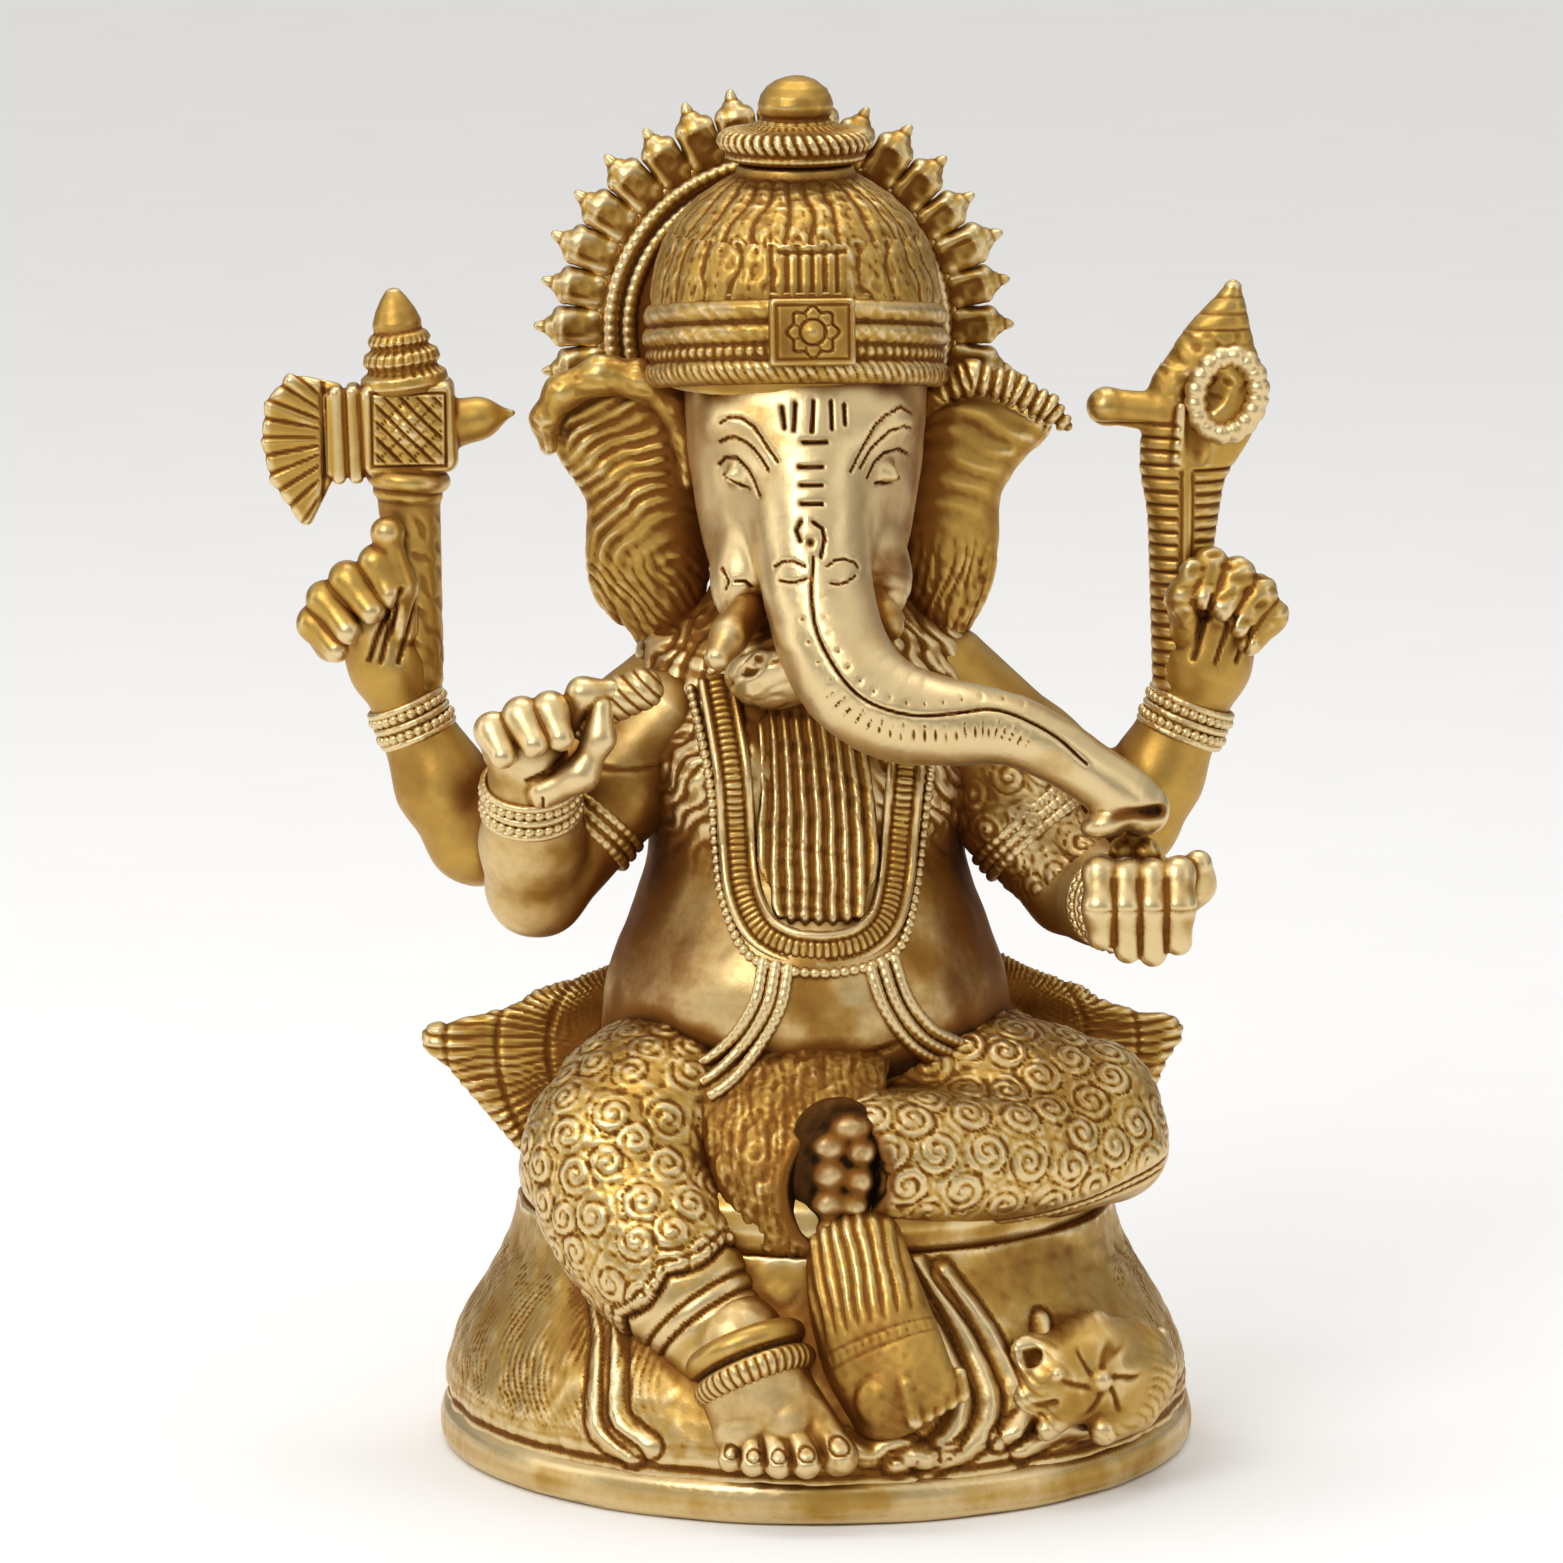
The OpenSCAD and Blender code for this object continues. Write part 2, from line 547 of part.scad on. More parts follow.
module mouse() color(bright_brass) scale(k) clear_of_hollow() {
    rod([29, -22, 11.5], [25.5, -25.5, 12.5], 5.6, 5, 14);
    rod([25.5, -25.5, 13], [22, -28.5, 12.5], 4.4, 3.6, 14);
    rod([22, -28.5, 12.5], [19.2, -30.6, 10.8], 3.4, 1.6, 12);
    rod([24.4, -25.2, 16.6], [24.6, -24.8, 18], 1.4, 1.5, 10);
    rod([22, -26.4, 15.8], [21.8, -26, 17.2], 1.3, 1.4, 10);
    rod([30, -25, 8.5], [27.5, -28.5, 7.2], 3, 1.6, 10);
    rod([23.5, -29, 9.5], [21.5, -31.5, 8], 1.8, 1.3, 10);
    rod([30.5, -18.5, 9.5], [32.5, -15, 8.5], 2, 1.1, 10);
}

// ---------- what is drawn ----------

foot_ring();
pedestal();
seat();
torso();
loin_cloth();
right_thigh();
right_shin();
right_foot();
right_anklet();
left_thigh();
left_shin();
left_foot();
sash_end();
sash_fan_right();
sash_fan_left();
front_right_upper_arm();
front_right_forearm();
front_right_hand();
rear_right_upper_arm();
rear_right_forearm();
rear_right_hand();
front_left_upper_arm();
front_left_forearm();
front_left_hand();
rear_left_upper_arm();
rear_left_forearm();
rear_left_hand();
bracelets();
armlets();
hand_tusk();
axe_shaft();
axe_head();
axe_finial();
goad_shaft();
goad_head();
noose();
sweets();
head();
trunk();
right_ear();
left_ear();
right_tusk();
left_tusk();
crown_dome();
crown_band();
crown_plate();
crown_disc();
crown_finial();
halo_ring();
halo_petals();
necklace();
chest_shawl();
belly_cords();
mouse();
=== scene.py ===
# %% [markdown]
# # A small cast-brass deity, sculpted in code
# The real object is lost-wax cast brass: soft rounded limbs, then lines and scrolls chased into the
# metal with punches, then years of handling that polish the high places and darken the hollows.
# This notebook follows that order. It sculpts each piece as a distance function, casts it as an even
# mesh of small quads, chases relief into it along its normals, and darkens the hollows and the places
# between parts with patina and painted shade.
# Everything is built round the CAD frame; the base and the crown take their heights from its boxes.

import json
import math
from concurrent.futures import ThreadPoolExecutor

import bpy
import numpy as np
import openvdb
from mathutils import Matrix, Vector

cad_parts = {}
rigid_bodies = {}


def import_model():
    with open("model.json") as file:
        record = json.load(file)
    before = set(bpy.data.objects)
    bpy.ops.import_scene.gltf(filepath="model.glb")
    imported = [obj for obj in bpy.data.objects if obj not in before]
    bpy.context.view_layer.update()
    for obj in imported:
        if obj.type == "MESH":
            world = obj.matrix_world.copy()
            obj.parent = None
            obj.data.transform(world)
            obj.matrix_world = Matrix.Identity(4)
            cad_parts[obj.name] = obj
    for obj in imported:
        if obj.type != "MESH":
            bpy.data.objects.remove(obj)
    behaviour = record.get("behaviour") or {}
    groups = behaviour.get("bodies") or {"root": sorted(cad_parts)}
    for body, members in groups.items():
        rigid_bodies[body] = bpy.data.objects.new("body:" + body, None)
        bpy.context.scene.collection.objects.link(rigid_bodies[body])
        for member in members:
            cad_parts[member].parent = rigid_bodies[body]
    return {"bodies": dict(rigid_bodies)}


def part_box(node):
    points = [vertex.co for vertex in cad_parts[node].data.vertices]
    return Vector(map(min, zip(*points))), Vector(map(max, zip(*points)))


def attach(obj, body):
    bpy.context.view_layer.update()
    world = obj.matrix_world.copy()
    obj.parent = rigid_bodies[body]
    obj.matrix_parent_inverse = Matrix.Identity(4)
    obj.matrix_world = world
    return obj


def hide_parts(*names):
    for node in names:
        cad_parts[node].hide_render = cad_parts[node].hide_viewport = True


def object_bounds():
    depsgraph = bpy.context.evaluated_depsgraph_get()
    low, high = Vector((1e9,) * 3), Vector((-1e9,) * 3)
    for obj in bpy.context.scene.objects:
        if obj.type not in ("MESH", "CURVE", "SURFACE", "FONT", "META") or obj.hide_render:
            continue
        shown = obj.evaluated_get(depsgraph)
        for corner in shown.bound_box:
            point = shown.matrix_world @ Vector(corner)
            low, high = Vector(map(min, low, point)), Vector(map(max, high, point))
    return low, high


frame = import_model()
cad_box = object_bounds()
bodies = sorted(frame["bodies"])
root = bodies[0]
print("CAD box in mm:", [[round(x * 1000, 1) for x in corner] for corner in cad_box])

MM = 0.001
FINE = 0.30
COARSEN = 1.0
scene = bpy.context.scene


# %% [markdown]
# ## Places in the frame's coordinates
# Every point below is given in millimetres in the frame's own coordinates, next to the name of the
# CAD node it belongs to.

# %% Points in millimetres, each beside a CAD node's name
def at(node, x, y, z):
    """A point in millimetres."""
    return np.array([x, y, z], float)


def span(node):
    """Lowest and highest corner of a node's box, in millimetres."""
    low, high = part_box(node)
    return np.array(low) * 1000, np.array(high) * 1000


# %% [markdown]
# ## Distance functions
# A distance function says how far a point is from a surface, and is negative inside. Joining two of
# them with a soft minimum gives the fillets that wax takes between two limbs, with no mesh booleans.
# Each helper returns a function of an array of points.

# %% Distance function helpers
def unit(v):
    v = np.asarray(v, float)
    return v / np.linalg.norm(v)


def size_of(p):
    return np.sqrt((p * p).sum(-1))


def ball(c, r):
    return lambda p: size_of(p - c) - r


def pill(a, b, ra, rb=None):
    """A round bar from a to b whose radius goes from ra to rb."""
    rb = ra if rb is None else rb
    d = b - a
    dd = float(d @ d)

    def f(p):
        t = np.clip(((p - a) @ d) / dd, 0, 1)
        return size_of(p - a - t[:, None] * d) - (ra + (rb - ra) * t)

    return f


def turned_axes(tilt):
    """Rotation matrix from three angles in degrees about X, Y and Z."""
    x, y, z = (math.radians(v) for v in tilt)
    rx = np.array([[1, 0, 0], [0, math.cos(x), -math.sin(x)], [0, math.sin(x), math.cos(x)]])
    ry = np.array([[math.cos(y), 0, math.sin(y)], [0, 1, 0], [-math.sin(y), 0, math.cos(y)]])
    rz = np.array([[math.cos(z), -math.sin(z), 0], [math.sin(z), math.cos(z), 0], [0, 0, 1]])
    return rz @ ry @ rx


def egg(c, radii, tilt=(0, 0, 0)):
    """An ellipsoid."""
    m = turned_axes(tilt)
    r = np.asarray(radii, float)

    def f(p):
        q = (p - c) @ m
        k0 = size_of(q / r)
        k1 = size_of(q / (r * r))
        return np.where(k1 > 1e-9, k0 * (k0 - 1) / np.maximum(k1, 1e-9), -r.min())

    return f


def block(c, half, soft, tilt=(0, 0, 0)):
    """A box with rounded edges."""
    m = turned_axes(tilt)
    h = np.asarray(half, float) - soft

    def f(p):
        q = np.abs((p - c) @ m) - h
        return size_of(np.maximum(q, 0)) + np.minimum(q.max(-1), 0) - soft

    return f


def hoop(c, axis, r, thick):
    """A plain ring of round section."""
    axis = unit(axis)

    def f(p):
        q = p - c
        h = q @ axis
        flat = size_of(q - h[:, None] * axis)
        return np.sqrt((flat - r) ** 2 + h * h) - thick

    return f


def soft_min(a, b, k):
    h = np.clip(0.5 + 0.5 * (b - a) / k, 0, 1)
    return b + (a - b) * h - k * h * (1 - h)


def merge(k, *shapes):
    def f(p):
        d = shapes[0](p)
        for s in shapes[1:]:
            d = soft_min(d, s(p), k)
        return d

    return f


def carve(k, body, *tools):
    def f(p):
        d = body(p)
        for t in tools:
            d = -soft_min(-d, t(p), k)
        return d

    return f


def smooth_line(points, steps):
    """Catmull-Rom curve through points of any dimension, with even parameter steps."""
    pts = np.asarray(points, float)
    ext = np.vstack([2 * pts[0] - pts[1], pts, 2 * pts[-1] - pts[-2]])
    out = []
    for u in np.linspace(0, len(pts) - 1, steps):
        i = min(int(u), len(pts) - 2)
        t = u - i
        a, b, c, d = ext[i : i + 4]
        out.append(0.5 * (2 * b + (c - a) * t + (2 * a - 5 * b + 4 * c - d) * t**2
                          + (3 * b - a - 3 * c + d) * t**3))
    return np.array(out)


class Sweep:
    """A limb of elliptical section along a smooth path, which can also say where a point lies on it."""

    def __init__(self, points, radii, up=(0, 1, 0), steps=28):
        rows = smooth_line([list(p) + list(r) for p, r in zip(points, radii)], steps)
        self.p, self.r = rows[:, :3], rows[:, 3:5]
        seg = np.diff(self.p, axis=0)
        self.len = np.linalg.norm(seg, axis=1)
        self.along = np.concatenate([[0], np.cumsum(self.len)])
        tan = np.gradient(self.p, axis=0)
        self.t = tan / np.linalg.norm(tan, axis=1)[:, None]
        side = np.cross(np.asarray(up, float), self.t)
        self.s = side / np.linalg.norm(side, axis=1)[:, None]
        self.u = np.cross(self.t, self.s)

    def where(self, p):
        """Distance along the path, the two cross offsets, the overrun past an end, and the radii."""
        best = np.full(len(p), 1e9)
        par = np.zeros(len(p))
        for i in range(len(self.len)):
            d = self.p[i + 1] - self.p[i]
            t = np.clip(((p - self.p[i]) @ d) / (d @ d), 0, 1)
            dist = size_of(p - self.p[i] - t[:, None] * d)
            closer = dist < best
            best = np.where(closer, dist, best)
            par = np.where(closer, i + t, par)
        i = np.minimum(par.astype(int), len(self.len) - 1)
        f = (par - i)[:, None]

        def mix(a):
            return a[i] * (1 - f) + a[i + 1] * f

        q = p - mix(self.p)
        return (mix(self.along[:, None])[:, 0], (q * mix(self.s)).sum(1), (q * mix(self.u)).sum(1),
                (q * mix(self.t)).sum(1), mix(self.r))

    def __call__(self, p):
        _, a, b, over, r = self.where(p)
        end = r.min(1)
        k0 = np.sqrt((a / r[:, 0]) ** 2 + (b / r[:, 1]) ** 2 + (over / end) ** 2)
        k1 = np.sqrt((a / r[:, 0] ** 2) ** 2 + (b / r[:, 1] ** 2) ** 2 + (over / end**2) ** 2)
        return np.where(k1 > 1e-6, k0 * (k0 - 1) / np.maximum(k1, 1e-6), -end)


def level_body(rows, x):
    """A body of level ellipses. Each row is height, y of the middle, half width, half depth."""
    rows = np.asarray(rows, float)
    table = smooth_line(rows, 60)

    def f(p):
        z = np.clip(p[:, 2], table[0, 0], table[-1, 0])
        y, rx, ry = (np.interp(z, table[:, 0], table[:, i]) for i in (1, 2, 3))
        q = np.stack([(p[:, 0] - x) / rx, (p[:, 1] - y) / ry], 1)
        k0 = size_of(q)
        k1 = np.sqrt(((p[:, 0] - x) / rx**2) ** 2 + ((p[:, 1] - y) / ry**2) ** 2)
        side = np.where(k1 > 1e-6, k0 * (k0 - 1) / np.maximum(k1, 1e-6), -np.minimum(rx, ry))
        over = np.maximum(table[0, 0] - p[:, 2], p[:, 2] - table[-1, 0])
        return np.where(over > 0, np.sqrt(np.maximum(side, 0) ** 2 + over**2), np.maximum(side, over))

    return f


def lathe(outline, x=0.0, y=0.0):
    """A turned body. The outline is a closed list of (radius, height), anticlockwise."""
    pts = np.asarray(outline, float)

    def f(p):
        q = np.stack([np.hypot(p[:, 0] - x, p[:, 1] - y), p[:, 2]], 1)
        best = np.full(len(p), 1e9)
        inside = np.zeros(len(p), bool)
        for a, b in zip(pts, np.roll(pts, -1, 0)):
            d = b - a
            t = np.clip(((q - a) @ d) / max(float(d @ d), 1e-12), 0, 1)
            best = np.minimum(best, size_of(q - a - t[:, None] * d))
            cross = (a[1] > q[:, 1]) != (b[1] > q[:, 1])
            rise = b[1] - a[1] if abs(b[1] - a[1]) > 1e-12 else 1e-12
            inside ^= cross & (q[:, 0] < (b[0] - a[0]) * (q[:, 1] - a[1]) / rise + a[0])
        return np.where(inside, -best, best)

    return f


# %% [markdown]
# ## Casting
# The function is first sampled on a coarse grid, then finely, but only near the surface. OpenVDB
# turns the samples into an even sheet of quads, and each point is pulled onto the exact surface.
# Chasing then moves points along the normal by a height in millimetres, as a punch does.

# %% Cast a distance function as a mesh
CAST = []
WORKERS = ThreadPoolExecutor(4)


def in_lots(shape, p, lot=60000):
    """Evaluates a shape on many points, a lot at a time on each core."""
    lots = [p[i : i + lot] for i in range(0, len(p), lot)]
    return np.concatenate(list(WORKERS.map(shape, lots))) if lots else np.zeros(0)


def slope(shape, p):
    """Direction in which the distance grows, from four samples at the corners of a small tetrahedron."""
    e = 0.03
    corners = np.array([[1, -1, -1], [-1, -1, 1], [-1, 1, -1], [1, 1, 1]], float)
    return sum(in_lots(shape, p + e * c)[:, None] * c for c in corners) / (4 * e)


def surface_points(shape, low, high, voxel):
    n = 4
    big = voxel * n
    low = np.asarray(low, float) - big
    cells = np.ceil((np.asarray(high, float) + big - low) / big).astype(int)
    axes = [low[i] + (np.arange(cells[i]) + 0.5) * big for i in range(3)]
    centres = np.stack(np.meshgrid(*axes, indexing="ij"), -1).reshape(-1, 3)
    rough = in_lots(shape, centres)
    near = np.abs(rough) < big * 1.7
    step = (np.indices((n, n, n)).reshape(3, -1).T + 0.5 - n / 2) * voxel
    fine = np.repeat(np.where(rough > 0, 1.0, -1.0)[:, None] * voxel * 3, n**3, 1)
    fine[near] = in_lots(shape, (centres[near][:, None] + step).reshape(-1, 3)).reshape(-1, n**3)
    dense = fine.reshape(*cells, n, n, n).transpose(0, 3, 1, 4, 2, 5).reshape(cells * n)
    grid = openvdb.FloatGrid(voxel * 3)
    grid.copyFromArray(np.ascontiguousarray(np.clip(dense, -3 * voxel, 3 * voxel), np.float32))
    points, quads = grid.convertToQuads(0.0)
    return low + (points.astype(float) + 0.5) * voxel, quads


def new_piece(name, points_mm, faces, **marks):
    mesh = bpy.data.meshes.new(name)
    mesh.from_pydata((points_mm * MM).tolist(), [], faces.tolist())
    for key, values in marks.items():
        layer = mesh.attributes.new(key, "FLOAT", "POINT")
        layer.data.foreach_set("value", values.astype(np.float32))
    mesh.shade_smooth()
    piece = bpy.data.objects.new(name, mesh)
    scene.collection.objects.link(piece)
    return piece


def cast(name, shape, low, high, voxel=FINE, chase=None):
    """Casts a shape as a piece. chase(points, normals) gives heights in mm and how dark each point is, from chased
    lines and, on some pieces, painted shade.
    """
    voxel *= COARSEN
    p, quads = surface_points(shape, low, high, voxel)
    g = slope(shape, p)
    gg = np.maximum((g * g).sum(1), 0.05)
    for _ in range(2):
        p = p - np.clip(in_lots(shape, p) / gg, -voxel, voxel)[:, None] * g
    n = slope(shape, p)
    n /= np.maximum(size_of(n), 1e-6)[:, None]
    ink = np.zeros(len(p))
    if chase:
        height, ink = chase(p, n)
        p = p + n * height[:, None]
    piece = new_piece(name, p, quads, ink=ink)
    CAST.append((shape, np.asarray(low, float), np.asarray(high, float)))
    print(f"{name}: {len(p)} points, {len(quads)} quads")
    return piece


# %% [markdown]
# ## Punches
# These are the marks that the chaser's tools leave. Each is a function of a coordinate on the piece,
# in millimetres, and is 1 in the middle of the mark and 0 away from it.

# %% Marks of the chasing tools
def groove(x, width):
    return np.exp(-((x / width) ** 2))


def rows(x, pitch, width):
    """Grooves a pitch apart."""
    off = np.abs((x / pitch + 0.5) % 1 - 0.5) * pitch
    return np.exp(-((off / width) ** 2))


def ease(x, a, b):
    t = np.clip((x - a) / (b - a), 0, 1)
    return t * t * (3 - 2 * t)


def line_distance(p, line):
    """Distance in the plane of the first two columns from points to a bent line, and how far along."""
    best = np.full(len(p), 1e9)
    far = np.zeros(len(p))
    run = 0.0
    for a, b in zip(line[:-1], line[1:]):
        d = b - a
        t = np.clip(((p - a) @ d) / (d @ d), 0, 1)
        dist = size_of(p - a - t[:, None] * d)
        closer = dist < best
        best = np.where(closer, dist, best)
        far = np.where(closer, run + t * np.linalg.norm(d), far)
        run += np.linalg.norm(d)
    return best, far


def speckle(p, size, seed=0):
    """Smooth repeatable noise between -1 and 1, made of turned sine waves."""
    rng = np.random.default_rng(seed)
    total = np.zeros(len(p))
    for _ in range(7):
        k = unit(rng.normal(size=3)) * rng.uniform(0.7, 1.5) * 2 * math.pi / size
        total += np.sin(p @ k + rng.uniform(0, 6.28))
    return np.tanh(total / 2.2)


def scrolls(p, n, radius, pitch, seed, keep):
    """Tight spirals side by side over the part of a surface where keep is above a half."""
    rng = np.random.default_rng(seed)
    pool = np.flatnonzero(keep > 0.5)
    pool = pool[rng.permutation(len(pool))[:7000]]
    chosen = []
    for i in pool:
        if not chosen or size_of(p[chosen] - p[i]).min() > radius * 1.62:
            chosen.append(i)
    height = np.zeros(len(p))
    ink = np.zeros(len(p))
    if not chosen:
        return height, ink
    first = np.full(len(p), 1e9)
    second = np.full(len(p), 1e9)
    owner = np.zeros(len(p), int)
    for k, i in enumerate(chosen):
        d = size_of(p - p[i])
        closer = d < first
        second = np.where(closer, first, np.minimum(second, d))
        owner = np.where(closer, k, owner)
        first = np.where(closer, d, first)
    seeds, up = p[chosen], n[chosen]
    side = np.cross(up, unit(rng.normal(size=3)))
    side /= size_of(side)[:, None]
    across = np.cross(up, side)
    q = p - seeds[owner]
    u, v = (q * side[owner]).sum(1), (q * across[owner]).sum(1)
    hand = np.where(rng.random(len(chosen)) < 0.5, 1, -1)[owner]
    phase = (first / pitch - hand * np.arctan2(v, u) / (2 * math.pi)) % 1
    line = np.exp(-(((phase - 0.5) * pitch / 0.24) ** 2)) * (first < radius * 1.02)
    eye = groove(first, 0.35)
    border = groove(second - first, 0.45)
    dome = np.clip(1 - (first / radius) ** 2, 0, 1)
    grain = np.clip(speckle(p, 1.6, seed + 1), 0, 1)
    height = 0.20 * dome - 0.15 * line - 0.10 * border + 0.10 * eye - 0.09 * grain
    ink = np.clip(0.44 * line + 0.20 * border + 0.26 * grain, 0, 1)
    return height * keep, ink * keep


# %% [markdown]
# ## Pieces that repeat or follow a line
# Beads, cords and petals are one small shape over and over along a path, which is what Geometry Nodes
# are for. Each tree takes its sizes as named inputs. It ends in Realize Instances and Set Material,
# and the result is turned into a plain mesh.

# %% Geometry Nodes helpers
def new_tree(name, sizes):
    """An empty tree with a geometry in, a geometry out, a material, and a named number for each size."""
    tree = bpy.data.node_groups.new(name, "GeometryNodeTree")
    tree.interface.new_socket("Geometry", in_out="INPUT", socket_type="NodeSocketGeometry")
    for label, value in sizes.items():
        kind = "NodeSocketInt" if isinstance(value, int) else "NodeSocketFloat"
        tree.interface.new_socket(label, in_out="INPUT", socket_type=kind).default_value = value
    tree.interface.new_socket("Material", in_out="INPUT", socket_type="NodeSocketMaterial")
    tree.interface.new_socket("Geometry", in_out="OUTPUT", socket_type="NodeSocketGeometry")
    nodes = tree.nodes
    return tree, nodes.new("NodeGroupInput"), nodes.new("NodeGroupOutput")


def end_tree(tree, start, end, geometry):
    """Realize Instances, then Set Material, then the output."""
    nodes, link = tree.nodes, tree.links.new
    real = nodes.new("GeometryNodeRealizeInstances")
    smooth = nodes.new("GeometryNodeSetShadeSmooth")
    paint = nodes.new("GeometryNodeSetMaterial")
    link(geometry, real.inputs["Geometry"])
    link(real.outputs["Geometry"], smooth.inputs["Geometry"])
    link(smooth.outputs["Geometry"], paint.inputs["Geometry"])
    link(start.outputs["Material"], paint.inputs["Material"])
    link(paint.outputs["Geometry"], end.inputs["Geometry"])


def maths(tree, what, a, b=None):
    node = tree.nodes.new("ShaderNodeMath")
    node.operation = what
    for i, v in enumerate((a, b)):
        if v is None:
            continue
        if isinstance(v, (int, float)):
            node.inputs[i].default_value = v
        else:
            tree.links.new(v, node.inputs[i])
    return node.outputs[0]


def path_object(name, lines, closed=False):
    """Curve object with one poly spline per line of points in millimetres."""
    curve = bpy.data.curves.new(name, "CURVE")
    curve.dimensions = "3D"
    for line in lines:
        spline = curve.splines.new("POLY")
        spline.points.add(len(line) - 1)
        spline.use_cyclic_u = closed
        for point, co in zip(spline.points, line):
            point.co = (*(np.asarray(co) * MM), 1)
    obj = bpy.data.objects.new(name, curve)
    scene.collection.objects.link(obj)
    return obj


def grow(name, source, tree, material, **sizes):
    """Runs a tree on a source object and keeps the result as a plain mesh piece."""
    mod = source.modifiers.new("grow", "NODES")
    mod.node_group = tree
    ids = {s.name: s.identifier for s in tree.interface.items_tree if s.in_out == "INPUT"}
    for label, value in sizes.items():
        mod[ids[label.replace("_", " ")]] = value
    mod[ids["Material"]] = material
    bpy.context.view_layer.update()
    graph = bpy.context.evaluated_depsgraph_get()
    mesh = bpy.data.meshes.new_from_object(source.evaluated_get(graph))
    mesh.name = name
    piece = bpy.data.objects.new(name, mesh)
    scene.collection.objects.link(piece)
    bpy.data.objects.remove(source)
    print(f"{name}: {len(mesh.polygons)} faces from {tree.name}")
    return piece


# %% Tree: beads along a path
def bead_tree():
    tree, start, end = new_tree("bead_string", {"Bead radius": 0.0007, "Spacing": 0.0013, "Flatten": 1.0})
    nodes, link = tree.nodes, tree.links.new
    resample = nodes.new("GeometryNodeResampleCurve")
    resample.mode = "LENGTH"
    points = nodes.new("GeometryNodeCurveToPoints")
    points.mode = "EVALUATED"
    bead = nodes.new("GeometryNodeMeshUVSphere")
    bead.inputs["Segments"].default_value = 8
    bead.inputs["Rings"].default_value = 6
    put = nodes.new("GeometryNodeInstanceOnPoints")
    size = nodes.new("ShaderNodeCombineXYZ")
    link(start.outputs["Geometry"], resample.inputs["Curve"])
    link(start.outputs["Spacing"], resample.inputs["Length"])
    link(resample.outputs["Curve"], points.inputs["Curve"])
    link(points.outputs["Points"], put.inputs["Points"])
    link(points.outputs["Rotation"], put.inputs["Rotation"])
    link(start.outputs["Bead radius"], bead.inputs["Radius"])
    link(bead.outputs["Mesh"], put.inputs["Instance"])
    link(start.outputs["Flatten"], size.inputs["Z"])
    size.inputs["X"].default_value = 1.0
    size.inputs["Y"].default_value = 1.0
    link(size.outputs["Vector"], put.inputs["Scale"])
    end_tree(tree, start, end, put.outputs["Instances"])
    return tree


# %% Tree: a twisted cord along a path
def cord_tree():
    tree, start, end = new_tree("notched_cord", {"Radius": 0.0006, "Notch pitch": 0.001, "Notch depth": 0.2})
    nodes, link = tree.nodes, tree.links.new
    resample = nodes.new("GeometryNodeResampleCurve")
    resample.mode = "LENGTH"
    step = maths(tree, "DIVIDE", start.outputs["Notch pitch"], 5.0)
    link(start.outputs["Geometry"], resample.inputs["Curve"])
    link(step, resample.inputs["Length"])
    along = nodes.new("GeometryNodeSplineParameter")
    turn = maths(tree, "DIVIDE", along.outputs["Length"], start.outputs["Notch pitch"])
    wave = maths(tree, "SINE", maths(tree, "MULTIPLY", turn, math.pi))
    swell = maths(tree, "POWER", maths(tree, "ABSOLUTE", wave), 0.7)
    low = maths(tree, "SUBTRACT", 1.0, start.outputs["Notch depth"])
    factor = maths(tree, "ADD", low, maths(tree, "MULTIPLY", swell, start.outputs["Notch depth"]))
    thick = nodes.new("GeometryNodeSetCurveRadius")
    link(resample.outputs["Curve"], thick.inputs["Curve"])
    link(factor, thick.inputs["Radius"])
    ring = nodes.new("GeometryNodeCurvePrimitiveCircle")
    ring.inputs["Resolution"].default_value = 10
    link(start.outputs["Radius"], ring.inputs["Radius"])
    body = nodes.new("GeometryNodeCurveToMesh")
    link(thick.outputs["Curve"], body.inputs["Curve"])
    link(ring.outputs["Curve"], body.inputs["Profile Curve"])
    if "Scale" in body.inputs:
        link(factor, body.inputs["Scale"])
    body.inputs["Fill Caps"].default_value = True
    end_tree(tree, start, end, body.outputs["Mesh"])
    return tree


# %% Tree: one shape repeated on the points of a path, turned to face outwards
def fan_tree(shape_object):
    """Copies of one shape on an arc about the origin, each pointing away from the centre."""
    tree, start, end = new_tree("petal_fan", {"Count": 24, "Unevenness": 0.06})
    nodes, link = tree.nodes, tree.links.new
    points = nodes.new("GeometryNodeCurveToPoints")
    points.mode = "COUNT"
    info = nodes.new("GeometryNodeObjectInfo")
    info.inputs["Object"].default_value = shape_object
    put = nodes.new("GeometryNodeInstanceOnPoints")
    place = nodes.new("GeometryNodeInputPosition")
    turn = nodes.new("FunctionNodeAlignRotationToVector")
    turn.axis = "X"
    turn.pivot_axis = "Y"
    luck = nodes.new("FunctionNodeRandomValue")
    luck.data_type = "FLOAT"
    luck.inputs["Seed"].default_value = 7
    uneven = start.outputs["Unevenness"]
    link(maths(tree, "SUBTRACT", 1.0, uneven), luck.inputs[2])
    link(maths(tree, "ADD", 1.0, uneven), luck.inputs[3])
    link(start.outputs["Geometry"], points.inputs["Curve"])
    link(start.outputs["Count"], points.inputs["Count"])
    link(points.outputs["Points"], put.inputs["Points"])
    link(place.outputs["Position"], turn.inputs["Vector"])
    link(turn.outputs["Rotation"], put.inputs["Rotation"])
    link(luck.outputs[1], put.inputs["Scale"])
    link(info.outputs["Geometry"], put.inputs["Instance"])
    end_tree(tree, start, end, put.outputs["Instances"])
    return tree


# %% Small builders that many pieces share
def limb(*knots, k=1.2):
    """A soft chain of round bars. Each knot is a point and a radius."""
    bars = [pill(a, b, ra, rb) for (a, ra), (b, rb) in zip(knots, knots[1:])]
    return merge(k, *bars)


